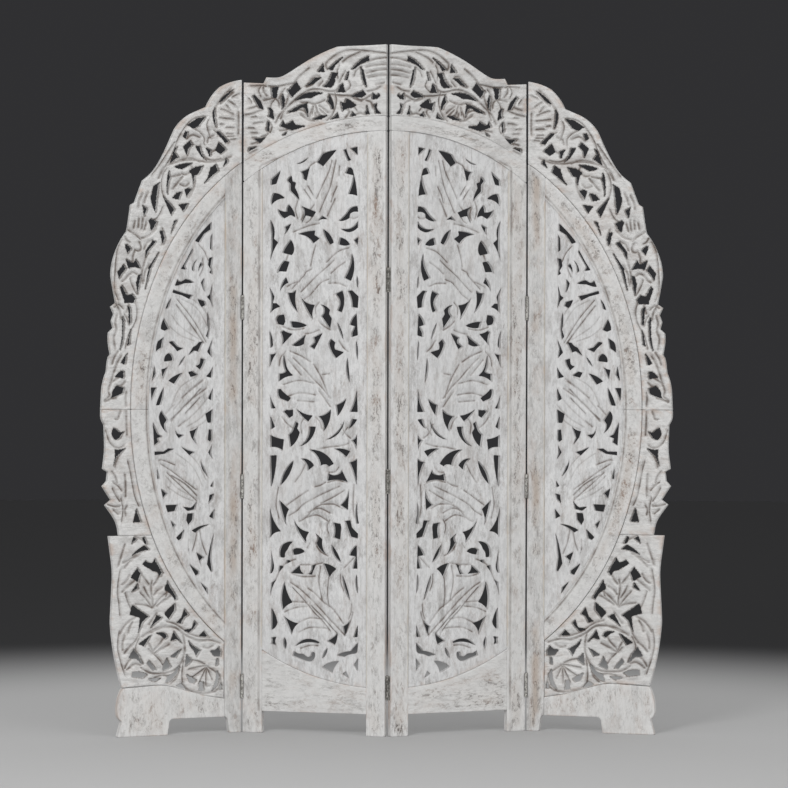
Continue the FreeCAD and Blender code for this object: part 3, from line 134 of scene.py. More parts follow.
OUTER_JALI_HOLES = [
    [(86, 1340, 2), (133, 1290), (120, 1286), (104, 1310), (86, 1321)],
    [(84, 1310), (89, 1300), (90, 1270), (84, 1265)],
    [(82, 1248), (92, 1246), (96, 1228), (87, 1215), (92, 1208), (83, 1203), (86, 1225)],
    [(110, 1228), (117, 1234, 2), (124, 1208, -2)], [(127, 1243, 3), (142, 1215), (137, 1210), (135, 1230)],
    [(141, 1270), (160, 1236), (173, 1217), (156, 1215), (162, 1224), (139, 1264)],
    [(107, 1193), (116, 1182), (110, 1165), (105, 1157), (108, 1175)],
    [(84, 1177), (91, 1150), (99, 1144), (90, 1135), (83, 1117), (86, 1150)],
    [(136, 1181, 2), (160, 1190), (172, 1183, -2), (183, 1190), (190, 1173), (178, 1174), (160, 1180)],
    [(140, 1148), (160, 1152), (195, 1162), (197, 1155), (170, 1148), (147, 1137)],
    [(105, 1133), (125, 1138, 2), (112, 1117), (101, 1123)], [(201, 1140, 2), (216, 1112), (208, 1115)],
    [(97, 1104, 2), (95, 1060), (101, 1042), (95, 1034, 4)],
    [(206, 1060), (221, 1087, 2), (230, 1060), (218, 1055)],
    [(83, 1034), (98, 1000), (84, 985), (88, 1010)],
    [(109, 1027), (122, 1025, -2), (138, 1013), (152, 991), (132, 1004), (122, 1000)],
    [(166, 1009), (180, 1013), (195, 1028), (207, 1026), (190, 1010), (183, 1001)],
    [(222, 1038), (238, 1028, 2), (243, 1001), (226, 1012)],
    [(104, 980), (117, 984), (119, 970, -2), (131, 964), (117, 953, 2)],
    [(194, 978, 4), (207, 997, 5), (220, 975)], [(161, 990, 2), (180, 962), (168, 975)],
    [(82, 962, -2), (101, 936), (84, 932)], [(124, 940), (140, 950), (152, 947), (145, 934), (130, 938)],
    [(169, 945, 3), (208, 925), (190, 916)], [(210, 962, -2), (228, 955), (224, 930)],
    [(248, 964), (255, 924), (243, 942)], [(82, 906), (95, 878), (84, 872)],
    [(222, 907, 2), (243, 861), (230, 862, 3)], [(241, 907), (258, 907), (256, 872)],
    [(82, 850), (103, 838), (97, 815), (84, 815)],
    [(227, 847, 3), (234, 825, 4), (211, 788, -2), (217, 812), (210, 822)],
    [(84, 795), (93, 797), (96, 770), (87, 764), (83, 770)],
    [(124, 805, -3), (148, 793), (143, 777), (127, 757), (134, 775)],
    [(165, 783), (180, 785, -3), (190, 805, 4), (177, 774)],
    [(252, 817), (248, 756), (234, 765), (238, 775), (225, 780), (236, 785)],
    [(134, 738), (150, 742), (172, 752), (156, 738), (147, 729)],
    [(193, 747), (209, 748), (222, 740), (247, 740), (247, 731), (215, 735)],
    [(85, 757), (90, 745), (95, 737), (82, 718), (87, 735)],
    [(108, 700, -2), (116, 719, 2), (110, 690), (96, 672)], [(241, 699), (239, 668), (233, 670)],
    [(80, 662), (89, 648), (81, 645)], [(78, 628), (91, 625), (94, 602), (82, 614)],
    [(211, 630), (229, 644), (223, 617)], [(127, 611, -2), (145, 592), (166, 595), (152, 584), (132, 588)],
    [(182, 601), (216, 600), (210, 582), (187, 585)],
    [(136, 578), (154, 577), (157, 560), (150, 546), (137, 560)], [(77, 588), (92, 569), (78, 562)],
    [(92, 548, 3), (142, 533), (129, 526, -2)], [(202, 560), (193, 538), (188, 548)],
    [(163, 536), (186, 515), (178, 507), (168, 512)],
    [(79, 524), (88, 495), (92, 475), (98, 444), (86, 423), (81, 424), (86, 460), (83, 495)],
    [(147, 468, -2), (150, 510, 3)], [(106, 462), (128, 475), (115, 438), (118, 452)],
    [(120, 425), (148, 445), (130, 414), (120, 418)], [(97, 380), (117, 397), (95, 364)],
]
CREST_HOLES = [
    [(57, 1774, 4), (104, 1740), (98, 1740, -4), (57, 1762)],
    [(72, 1737), (79, 1743), (75, 1715), (70, 1700), (62, 1692), (66, 1712)],
    [(110, 1732), (114, 1731), (121, 1713), (116, 1712)],
    [(128, 1771, 2), (168, 1742), (156, 1738), (148, 1752)], [(181, 1755), (197, 1735), (178, 1735)],
    [(142, 1729), (158, 1731, -4), (181, 1695), (160, 1693, 4), (150, 1716)],
    [(187, 1718), (205, 1718), (228, 1697), (207, 1705)],
    [(244, 1690), (254, 1708), (266, 1700, -2), (280, 1686), (268, 1667)],
    [(305, 1696), (324, 1694), (322, 1668), (310, 1668)],
    [(128, 1701), (136, 1698), (143, 1680), (122, 1680)],
    [(26, 1669), (31, 1674), (37, 1667), (46, 1675), (48, 1660), (35, 1661)],
    [(65, 1671), (72, 1682), (88, 1676), (104, 1668), (75, 1665)],
    [(91, 1643, 2), (119, 1661), (122, 1648), (133, 1652), (128, 1628, -3), (105, 1638)],
    [(155, 1650), (165, 1672), (170, 1655), (163, 1648), (158, 1635), (153, 1636)],
    [(183, 1677, 2), (225, 1678, 3), (257, 1660, -2), (214, 1666, -2)],
    [(226, 1651, 3), (277, 1628), (255, 1631, -2), (235, 1642), (222, 1615), (224, 1635)],
    [(292, 1676), (297, 1668), (294, 1636, 2), (287, 1660)],
    [(35, 1647), (43, 1643), (38, 1622), (25, 1622), (36, 1632)], [(61, 1641, -2), (68, 1621), (55, 1621)],
    [(101, 1626), (106, 1615), (93, 1617)], [(142, 1624), (148, 1615), (160, 1608), (138, 1612)],
    [(170, 1617), (190, 1618), (208, 1608), (188, 1609)],
    [(232, 1590), (258, 1593), (265, 1605), (284, 1594), (292, 1605), (299, 1592), (268, 1580)],
    [(280, 1576), (292, 1567), (284, 1568)], [(320, 1632, 2), (333, 1640, -3), (332, 1618), (316, 1610)],
    [(352, 1655), (370, 1675), (376, 1672), (358, 1640), (346, 1637)],
    [(330, 1600), (335, 1603), (337, 1582), (331, 1577)],
    [(340, 1562), (352, 1558), (372, 1558), (354, 1547)], [(368, 1536), (386, 1532), (387, 1524)],
]
UPPER_BORDER_HOLES = [
    [(25, 1688, 2), (62, 1655), (50, 1660), (35, 1675)],
    [(76, 1638), (82, 1625), (79, 1605), (72, 1590), (74, 1610)],
    [(103, 1613), (125, 1610), (152, 1592), (138, 1584), (122, 1590)],
    [(153, 1574), (160, 1575), (166, 1562), (156, 1558)], [(36, 1552), (62, 1576), (70, 1575), (45, 1548)],
    [(43, 1530), (60, 1545), (66, 1548), (73, 1527), (60, 1519)],
    [(87, 1528), (102, 1533, -2), (93, 1512), (88, 1514)], [(118, 1537), (131, 1536, 3), (101, 1502, -3)],
    [(140, 1541), (147, 1551), (166, 1535), (155, 1513), (150, 1530)],
    [(184, 1534), (189, 1530), (203, 1493), (180, 1508), (190, 1520)],
    [(142, 1492, 3), (191, 1482), (170, 1477)],
    [(110, 1486), (132, 1482), (148, 1473), (140, 1460), (136, 1440), (132, 1462), (122, 1465)],
    [(66, 1475), (73, 1491), (88, 1482), (97, 1455), (107, 1441), (88, 1457)],
    [(38, 1498), (43, 1507), (52, 1487)], [(202, 1455), (207, 1471, 3), (211, 1411, -2)],
    [(142, 1424), (152, 1427), (162, 1423), (156, 1405)],
    [(170, 1417), (186, 1413), (196, 1402), (178, 1398)], [(152, 1387), (178, 1383), (166, 1366)],
    [(190, 1372), (222, 1404), (200, 1356)],
    [(235, 1440), (250, 1430), (258, 1400, 2), (244, 1363), (240, 1400)],
    [(267, 1372), (281, 1380), (276, 1352)],
    [(240, 1338), (258, 1346), (262, 1340), (257, 1317), (250, 1320)],
    [(184, 1344), (192, 1340), (201, 1308), (196, 1323)],
    [(222, 1314), (232, 1314), (222, 1281), (217, 1295)],
    [(236, 1259), (262, 1222), (274, 1163), (258, 1215)],
    [(243, 1286), (252, 1290), (272, 1262), (271, 1248), (262, 1265)],
    [(286, 1218), (300, 1240), (306, 1230), (327, 1240), (320, 1218), (306, 1222)],
    [(312, 1268), (324, 1278), (330, 1278), (323, 1256)],
    [(326, 1216), (335, 1226), (350, 1206), (346, 1190), (336, 1204)],
    [(284, 1200), (293, 1198), (298, 1180), (294, 1152), (289, 1175)],
    [(300, 1138), (310, 1150), (322, 1145), (338, 1172), (343, 1166), (330, 1128), (303, 1129)],
    [(314, 1115), (321, 1118), (317, 1073), (313, 1075)],
    [(332, 1080), (337, 1092), (337, 1045), (344, 1005), (335, 1030)],
    [(314, 1058), (322, 1018), (317, 1020)], [(325, 996), (341, 972), (329, 968)],
    [(332, 948), (342, 950), (357, 937), (333, 932)],
    [(333, 906), (352, 912), (364, 900), (367, 882), (348, 888), (335, 893)],
]
LOWER_BORDER_HOLES = [
    [(333, 792), (344, 790), (352, 798), (362, 803, 6), (358, 773, 2), (342, 780)],
    [(330, 750), (345, 745), (358, 746), (357, 728), (362, 705), (350, 730), (336, 742)],
    [(284, 558), (298, 592), (306, 558)],
]
CORNER_HOLES = [
    [(267, 501), (274, 518), (280, 516), (273, 501)], [(262, 486), (274, 496, 2), (308, 472, -2)],
    [(296, 514), (306, 518), (311, 502)],
    [(224, 424), (246, 462), (252, 450, -3), (272, 456), (280, 448), (250, 430), (238, 428), (230, 415)],
    [(284, 424), (294, 438), (313, 415), (291, 402)],
    [(182, 355), (210, 402), (216, 380), (200, 370), (188, 352)], [(292, 385), (296, 397), (310, 377)],
    [(189, 343), (206, 330), (218, 318), (205, 303), (188, 325)],
    [(225, 306), (240, 314), (257, 282), (240, 296)],
    [(262, 311), (284, 325), (308, 342), (316, 318), (287, 310), (291, 270), (278, 298)],
    [(150, 312), (162, 328), (170, 305), (182, 294), (170, 290), (160, 308)],
    [(126, 286), (134, 295), (140, 276), (160, 271), (144, 266)], [(94, 254), (106, 268), (118, 256)],
    [(56, 212), (64, 226), (72, 217), (88, 215), (76, 202), (57, 201)],
    [(116, 218), (135, 228), (150, 243, 2), (135, 220), (127, 203)],
    [(140, 193), (156, 208), (158, 178), (148, 185)], [(65, 194), (70, 194), (72, 177), (66, 179)],
    [(170, 240), (192, 270), (200, 246), (182, 250)], [(172, 222), (186, 214), (200, 206), (185, 202)],
    [(210, 256, 2), (224, 268), (240, 267, -2), (216, 252)],
    [(256, 262), (270, 254), (289, 240), (274, 234), (264, 248)],
    [(280, 188), (290, 210), (305, 227), (317, 206), (296, 202)],
    [(200, 177), (212, 200), (222, 178), (222, 168)], [(242, 172), (262, 196), (267, 188), (252, 172)],
    [(176, 178), (190, 163), (210, 151), (214, 137), (200, 141), (181, 160)],
    [(230, 149), (248, 148), (262, 147), (244, 142)],
    [(268, 160), (290, 167), (308, 167), (310, 156), (278, 152)], [(156, 118), (170, 134), (183, 127)],
    [(127, 140), (140, 147), (155, 155), (147, 137), (135, 133)],
    [(106, 112), (108, 135), (116, 134), (120, 114)],
    [(60, 148), (68, 162), (72, 135), (82, 112), (68, 123)], [(54, 116), (56, 130), (61, 114)],
]

# Carved lines, each a run of (u, z) points in the same drawings. The wood is scooped on the left of the run.
INNER_JALI_VEINS = [
    [(120, 262), (142, 285), (160, 302), (200, 343), (240, 378), (268, 396)],
    [(210, 336), (178, 306), (140, 266)],
    [(123, 292), (150, 328), (175, 345), (200, 368), (220, 382)],
    [(262, 383), (235, 356), (205, 322), (178, 296), (158, 272)], [(180, 302), (215, 304), (248, 290)],
    [(222, 334), (255, 330), (285, 318)], [(222, 345), (262, 346)], [(165, 278), (215, 279), (245, 266)],
    [(163, 410), (166, 370), (162, 335)], [(185, 440), (190, 400), (180, 350)],
    [(100, 342), (102, 320), (108, 304)],
    [(96, 322), (102, 300), (114, 268)], [(180, 449), (205, 444), (240, 443)],
    [(130, 420), (130, 400), (122, 378)],
    [(94, 464), (108, 450), (120, 438)], [(165, 468), (185, 478), (196, 492)],
    [(200, 414), (235, 412), (264, 419)],
    [(254, 457), (276, 450), (292, 436), (302, 418), (310, 400)], [(192, 232), (215, 232), (240, 224)],
    [(215, 500), (222, 488)], [(134, 650), (180, 630), (215, 612), (235, 600), (250, 585), (272, 572)],
    [(120, 640), (150, 622), (185, 605)], [(180, 603), (205, 590), (225, 568), (245, 556)],
    [(172, 660), (186, 652), (202, 648)], [(220, 638), (245, 622), (262, 610), (280, 598)],
    [(125, 592), (150, 603), (180, 602)], [(160, 580), (190, 592), (220, 580)],
    [(165, 558), (195, 574), (228, 566)],
    [(160, 562), (168, 545), (164, 528)], [(114, 660), (140, 666), (166, 660)],
    [(136, 700), (146, 688), (162, 686)],
    [(94, 655), (97, 610), (93, 570)], [(302, 645), (308, 600), (300, 565)],
    [(228, 706), (240, 682), (256, 660)],
    [(110, 762), (135, 755), (165, 752), (195, 746)], [(104, 776), (120, 790), (130, 812)],
    [(112, 804), (126, 784)], [(182, 800), (188, 818), (200, 830)], [(228, 832), (240, 812), (238, 788)],
    [(262, 800), (280, 814), (292, 830)], [(160, 880), (185, 910), (205, 928), (230, 955), (262, 985)],
    [(165, 882), (180, 925), (205, 968)], [(240, 940), (256, 958), (275, 980)],
    [(205, 918), (245, 926), (288, 915)],
    [(200, 888), (245, 893), (285, 880)], [(205, 870), (250, 873)], [(215, 975), (240, 990), (270, 1002)],
    [(162, 944), (182, 941)], [(160, 858), (176, 880), (190, 898)], [(160, 1058), (180, 1070), (192, 1082)],
    [(190, 1058), (212, 1050), (228, 1048)], [(232, 1062), (262, 1058), (290, 1066)],
    [(282, 1002), (296, 985), (300, 965)],
    [(112, 1002), (124, 1012), (136, 1030)],
    [(150, 1240), (170, 1222), (200, 1197), (225, 1172), (240, 1158)],
    [(212, 1217), (226, 1210)], [(228, 1208), (235, 1197), (265, 1166)],
    [(120, 1235), (140, 1222), (158, 1206)],
    [(165, 1190), (185, 1182), (202, 1164)], [(205, 1160), (215, 1150), (232, 1138)],
    [(118, 1172), (140, 1180), (165, 1180)],
    [(245, 1185), (262, 1180), (278, 1172)], [(190, 1130), (200, 1118), (200, 1100)],
    [(110, 1272), (140, 1262), (170, 1235)],
    [(200, 1280), (208, 1255), (214, 1225)], [(145, 1500), (160, 1435), (175, 1400), (190, 1366)],
    [(156, 1500), (165, 1470), (180, 1440), (198, 1402)], [(135, 1485), (137, 1462)],
    [(142, 1432), (152, 1412), (158, 1392)],
    [(168, 1356), (160, 1375), (148, 1400)], [(205, 1385), (215, 1372)], [(222, 1434), (208, 1412)],
    [(232, 1425), (216, 1402)],
    [(240, 1346), (236, 1362), (240, 1378)], [(208, 1358), (216, 1345), (226, 1338)],
    [(190, 1336), (220, 1330), (262, 1314)],
    [(86, 1352), (98, 1348), (110, 1352)], [(196, 1498), (212, 1490), (220, 1482)],
    [(250, 1395), (256, 1372), (250, 1350)],
    [(282, 1240), (276, 1256)],
]
OUTER_JALI_VEINS = [
    [(102, 1026), (140, 1086), (184, 1137)], [(186, 1123), (149, 1077), (108, 1024)],
    [(110, 925), (145, 900), (170, 880)], [(100, 905), (150, 870), (200, 820)],
    [(200, 825), (160, 860), (118, 903)], [(160, 840), (120, 880)], [(195, 860), (216, 838)],
    [(160, 820), (180, 805)], [(130, 640), (165, 665), (200, 690), (230, 708)],
    [(200, 678), (160, 655), (128, 625)], [(130, 612), (150, 630), (190, 665), (212, 685)],
    [(190, 705), (225, 718), (235, 717)], [(100, 470), (112, 500), (120, 540)],
    [(140, 480), (132, 505), (126, 535)],
    [(96, 1240), (106, 1262), (122, 1280)], [(120, 1200), (110, 1222), (112, 1245)],
]
# Fainter veins from the midribs to the rims of the leaves.
OUTER_JALI_SIDE_VEINS = [
    [(199, 1095), (175, 1066), (123, 1034)], [(205, 1066), (175, 1043), (135, 1029)],
    [(170, 1137), (129, 1115), (99, 1069)], [(140, 1137), (111, 1115), (93, 1086)],
    [(105, 931), (152, 896), (193, 850)], [(129, 936), (175, 908), (199, 862)],
    [(88, 890), (123, 850), (170, 810)],
    [(82, 862), (117, 827), (158, 804)], [(88, 833), (117, 810), (146, 798)],
    [(187, 735), (140, 700), (111, 648)],
    [(158, 741), (123, 706), (102, 666)], [(217, 677), (181, 643), (129, 617)],
    [(211, 648), (175, 625), (140, 611)],
]
CREST_VEINS = [
    [(172, 1742), (174, 1756), (162, 1768), (145, 1780), (110, 1791), (60, 1788), (10, 1781)],
    [(128, 1760), (112, 1772), (80, 1786)], [(262, 1705), (250, 1720), (235, 1733), (220, 1745)],
    [(330, 1699), (305, 1698), (282, 1702), (262, 1705)], [(380, 1700), (345, 1701)],
    [(8, 1768), (34, 1766), (60, 1758)], [(8, 1750), (36, 1749), (64, 1744)],
    [(8, 1737), (34, 1735), (62, 1728)],
    [(8, 1722), (30, 1721), (58, 1716)], [(14, 1702), (36, 1697)], [(60, 1681), (40, 1684), (26, 1692)],
    [(66, 1757), (84, 1750), (94, 1742)], [(76, 1744), (90, 1736), (96, 1722)],
    [(312, 1600), (300, 1622), (275, 1646), (245, 1672), (215, 1687), (190, 1688), (165, 1682),
     (145, 1685), (130, 1700)],
    [(298, 1610), (284, 1650), (274, 1680), (270, 1695)],
    [(165, 1675), (130, 1671), (100, 1668), (75, 1658), (45, 1674)],
    [(110, 1708), (106, 1694), (120, 1680)],
    [(176, 1658), (190, 1652), (205, 1648), (222, 1652), (240, 1652)],
    [(168, 1625), (178, 1634), (192, 1643)], [(198, 1622), (199, 1634), (203, 1646)],
    [(212, 1622), (210, 1636)],
    [(150, 1682), (144, 1660), (147, 1640), (156, 1618), (170, 1604)],
    [(165, 1676), (156, 1658), (152, 1640)],
    [(205, 1604), (222, 1607), (242, 1620)], [(228, 1628), (250, 1634), (280, 1625)],
    [(46, 1636), (50, 1650), (64, 1656)],
    [(76, 1654), (98, 1662)], [(112, 1640), (98, 1640), (88, 1630)], [(120, 1612), (110, 1626), (118, 1636)],
    [(182, 1708), (192, 1697)], [(192, 1722), (206, 1722), (218, 1708)],
    [(200, 1712), (210, 1700), (226, 1694)],
    [(338, 1697), (350, 1700), (358, 1686), (352, 1672)], [(336, 1672), (345, 1684), (346, 1696)],
    [(302, 1642), (304, 1656), (314, 1664), (330, 1663), (344, 1660)],
    [(330, 1605), (321, 1590), (326, 1574)],
    [(312, 1664), (322, 1652), (326, 1636)], [(286, 1690), (296, 1678), (302, 1664)],
    [(258, 1590), (285, 1580), (300, 1578)],
    [(332, 1570), (345, 1560), (362, 1545)], [(120, 1735), (128, 1722), (136, 1705)],
    [(136, 1750), (142, 1735), (140, 1716)],
    [(244, 1690), (262, 1692), (276, 1684)], [(60, 1616), (80, 1622), (92, 1618)],
    [(221, 1609), (214, 1628), (208, 1643)], [(201, 1607), (203, 1625)], [(190, 1611), (197, 1628)],
    [(176, 1620), (190, 1634)],
]
UPPER_BORDER_VEINS = [
    [(30, 1690), (46, 1676), (63, 1655), (75, 1638), (79, 1618), (74, 1592)],
    [(36, 1550), (50, 1562), (62, 1570), (78, 1578)],
    [(108, 1545), (108, 1560), (120, 1574), (136, 1582)], [(80, 1566), (94, 1560), (98, 1548)],
    [(110, 1514), (96, 1504), (78, 1502), (60, 1506)], [(120, 1496), (140, 1504), (162, 1503), (182, 1497)],
    [(30, 1512), (60, 1500), (100, 1496), (140, 1501), (180, 1496), (220, 1480), (236, 1452)],
    [(236, 1452), (216, 1486), (204, 1505), (190, 1535), (184, 1552), (170, 1576), (150, 1600),
     (130, 1612), (108, 1616)],
    [(255, 1462), (238, 1482), (214, 1516), (192, 1546)], [(168, 1457), (182, 1441), (196, 1425)],
    [(175, 1461), (197, 1457)],
    [(148, 1468), (160, 1462), (170, 1464)], [(150, 1440), (160, 1432), (176, 1436)],
    [(222, 1402), (229, 1430), (225, 1460), (214, 1478)],
    [(146, 1490), (136, 1470), (134, 1440), (140, 1420), (150, 1402)],
    [(262, 1342), (245, 1346), (233, 1360), (226, 1376)],
    [(265, 1416), (272, 1402), (276, 1388)], [(281, 1411), (291, 1391), (293, 1376)],
    [(242, 1321), (262, 1303), (284, 1295)],
    [(288, 1292), (302, 1304), (322, 1315)], [(280, 1346), (283, 1320)], [(270, 1336), (276, 1318)],
    [(291, 1346), (293, 1324)],
    [(302, 1340), (306, 1322)], [(225, 1322), (221, 1300), (226, 1280)],
    [(252, 1291), (268, 1283), (276, 1268)],
    [(290, 1286), (285, 1270), (292, 1262), (303, 1264)], [(303, 1262), (308, 1248), (308, 1236)],
    [(331, 1300), (325, 1290), (317, 1285)],
    [(350, 1135), (358, 1155), (361, 1180), (359, 1205), (357, 1235), (352, 1265), (340, 1290)],
    [(298, 1201), (308, 1206), (320, 1199), (330, 1188), (338, 1183)],
    [(298, 1150), (306, 1163), (313, 1178), (317, 1190)],
    [(270, 1250), (279, 1222), (283, 1198), (280, 1178)], [(262, 1226), (274, 1206), (278, 1184)],
    [(330, 1010), (325, 1030), (318, 1050), (308, 1066), (299, 1086), (297, 1110), (302, 1130)],
    [(318, 1122), (326, 1102)], [(336, 1112), (348, 1122), (360, 1116)],
    [(356, 1126), (345, 1106), (340, 1086)],
    [(352, 1096), (357, 1076), (354, 1056), (361, 1036), (357, 1008)],
    [(320, 1070), (326, 1088), (332, 1096)],
    [(340, 990), (350, 974), (360, 950), (366, 930), (371, 914)], [(344, 936), (356, 928), (371, 919)],
    [(330, 922), (340, 913), (354, 909)], [(372, 914), (376, 898), (373, 886), (386, 874)],
    [(355, 881), (370, 878), (386, 871)],
    [(326, 896), (328, 880), (326, 860)], [(350, 1000), (360, 985), (366, 968)],
    [(90, 1560), (100, 1590), (96, 1606)],
    [(120, 1560), (140, 1566), (158, 1556)], [(60, 1540), (76, 1528), (92, 1520)],
]
LOWER_BORDER_VEINS = [
    [(326, 846), (326, 820), (324, 785)], [(342, 846), (346, 836), (350, 826), (357, 825)],
    [(333, 757), (346, 750), (363, 756), (376, 771), (385, 798)],
    [(292, 600), (302, 622), (309, 652), (316, 690), (323, 716)],
    [(340, 640), (350, 652), (363, 661)], [(345, 612), (355, 626), (366, 646)],
    [(345, 599), (360, 599), (379, 604)],
    [(350, 579), (363, 590)], [(330, 682), (328, 655), (328, 625)], [(358, 702), (353, 720), (346, 736)],
    [(324, 600), (330, 590), (328, 576)],
    [(340, 560), (336, 590), (342, 620)], [(366, 690), (356, 676), (352, 660)],
]
CORNER_VEINS = [
    [(330, 160), (338, 182), (344, 202), (350, 228), (350, 252), (346, 275)],
    [(345, 318), (347, 345), (351, 372), (350, 398), (344, 432)],
    [(288, 474), (300, 468), (317, 454), (330, 440)],
    [(300, 470), (316, 460), (334, 452)], [(303, 405), (320, 392), (337, 377)],
    [(330, 500), (340, 470), (348, 446)],
    [(253, 404), (256, 388), (254, 368), (251, 348), (253, 334)],
    [(210, 373), (228, 359), (240, 346), (252, 334)],
    [(200, 362), (222, 350), (240, 338)], [(254, 334), (263, 346), (272, 358), (287, 373)],
    [(254, 333), (270, 340), (300, 344)],
    [(224, 386), (238, 378), (248, 366)], [(276, 388), (268, 372), (258, 358)],
    [(232, 420), (240, 404), (250, 392)],
    [(286, 424), (272, 408), (262, 396)], [(216, 390), (212, 376), (214, 362)],
    [(60, 235), (90, 244), (120, 243), (145, 252), (165, 262), (190, 280), (230, 281), (258, 272),
     (280, 258)],
    [(90, 250), (120, 254), (150, 264), (186, 288), (212, 296)], [(240, 318), (250, 306), (262, 290)],
    [(216, 284), (240, 276), (272, 264)],
    [(165, 262), (160, 230), (163, 205), (175, 180), (195, 166), (225, 161), (260, 164), (285, 178)],
    [(296, 206), (300, 232), (290, 256)], [(222, 252), (232, 238), (245, 225), (251, 215)],
    [(205, 236), (225, 226), (247, 214)],
    [(235, 200), (243, 207), (250, 214)], [(262, 226), (256, 220), (251, 214)],
    [(224, 184), (232, 196), (246, 210)],
    [(262, 240), (256, 230), (250, 216)], [(304, 216), (288, 208), (279, 192)],
    [(285, 184), (302, 188), (324, 174)],
    [(308, 206), (322, 192), (330, 178)], [(300, 309), (320, 298), (334, 284), (344, 268)],
    [(308, 298), (316, 284), (320, 270)],
    [(304, 241), (316, 234), (331, 217)], [(290, 264), (300, 248), (312, 236)],
    [(149, 171), (125, 175), (101, 178)],
    [(142, 148), (122, 160), (102, 174)], [(121, 132), (112, 150), (101, 172)],
    [(101, 127), (101, 150), (99, 172)],
    [(83, 141), (90, 155), (98, 172)], [(68, 157), (82, 166), (96, 174)],
    [(138, 194), (120, 190), (104, 182)],
    [(62, 152), (58, 130), (70, 112), (95, 105), (122, 107), (150, 115), (166, 132), (169, 160), (165, 192)],
    [(80, 229), (95, 223), (108, 226)], [(266, 500), (284, 512), (302, 520)],
    [(206, 152), (225, 156), (246, 150)],
    [(180, 160), (186, 146), (200, 134)], [(312, 330), (322, 350), (330, 374)],
    [(316, 420), (326, 404), (338, 396)],
    [(330, 262), (336, 244), (336, 226)],
]
# Ribs and notches of the fans at the side folds.
CREST_FAN = [
    [(385.1, 1666), (378, 1657)], [(386.9, 1638.7), (372.6, 1642.9), (360, 1646.2)],
    [(395, 1623), (374, 1627), (351, 1634.6)], [(378, 1616.3), (365.5, 1618)],
    [(371.7, 1598.9), (360, 1601.4), (347.6, 1602.2)], [(386, 1588), (372, 1587)],
    [(378.8, 1574.9), (361.9, 1574)], [(376.2, 1560.8), (363.7, 1561.6)], [(351.2, 1563.3), (335.1, 1568.2)],
    [(378, 1545), (358.3, 1550)], [(384.2, 1534.2), (364.6, 1536.7)], [(383.3, 1519.3), (363.7, 1530)],
]
UPPER_BORDER_FAN = [
    [(22.9, 1681), (40.8, 1666), (60.4, 1649.5)], [(76.5, 1631), (76.5, 1609.7), (71.1, 1588)],
    [(67.5, 1571.5), (51.5, 1563), (37.2, 1546.7)], [(26.5, 1669.4), (8.6, 1677.7)],
    [(37.2, 1659.4), (19.3, 1647.8)], [(42.5, 1646.2), (31.8, 1632.9)],
    [(58.6, 1636), (42, 1632), (24.7, 1624.6)],
    [(62.2, 1613.8), (42, 1612), (22.9, 1610.5)], [(60, 1597), (52, 1596)], [(44.3, 1589), (22.9, 1588)],
    [(42.5, 1572.4), (26.5, 1571.5)], [(40.8, 1565), (22.9, 1565.8)], [(31.8, 1557.5), (17.5, 1559)],
    [(9, 1630), (8, 1602), (9, 1573)],
]


# ---- sizes and colours ----
def length(name, description, default):
    """A length property in metres."""
    return bpy.props.FloatProperty(name=name, description=description, default=default, min=0.0,
                                   unit="LENGTH", subtype="DISTANCE", precision=4)


def colour(name, description, default):
    """A colour property."""
    return bpy.props.FloatVectorProperty(name=name, description=description, default=default, size=3,
                                         min=0.0, max=1.0, subtype="COLOR")


class JaliScreenSizes(bpy.types.PropertyGroup):
    """Sizes of the carving and the rounded edges."""
    jali_step: length("Jali mesh step", "Spacing of the mesh on the pierced jali boards", 0.0017)
    carving_step: length("Carving mesh step", "Spacing of the mesh on the crest, borders and corners", 0.0015)
    rail_step: length("Rail mesh step", "Spacing of the mesh on the curved rails", 0.003)
    edge_round: length("Edge rounding", "Rounding of the frame's edges", 0.0009)
    carved_round: length("Carved rounding", "How far the carved stems are rounded from their edges", 0.0052)
    carved_drop: length("Carved drop", "How deep that rounding goes at an opening's edge", 0.0028)
    jali_round: length("Jali rounding", "How far the jali's stems are rounded from their edges", 0.003)
    jali_drop: length("Jali drop", "How deep that rounding goes at an opening's edge", 0.0013)
    jali_opened: length("Jali opened up", "How far past their line the jali's openings are cut", 0.0005)
    carved_opened: length("Carving opened up", "How far past their line the carved openings are cut", 0.0015)
    ragged: length("Ragged edge", "How far the carved openings stray from their line", 0.0018)
    vein_width: length("Vein width", "Width of a cut vein", 0.0034)
    vein_depth: length("Vein depth", "Depth of a cut vein", 0.0015)
    scoop_width: length("Scoop width", "How fast the scooped side of a vein comes up again", 0.009)
    scoop_depth: length("Scoop depth", "How deep the scooped side of a vein starts", 0.0026)
    bead_width: length("Bead width", "Width of the raised bead along the ring's inner edge", 0.014)


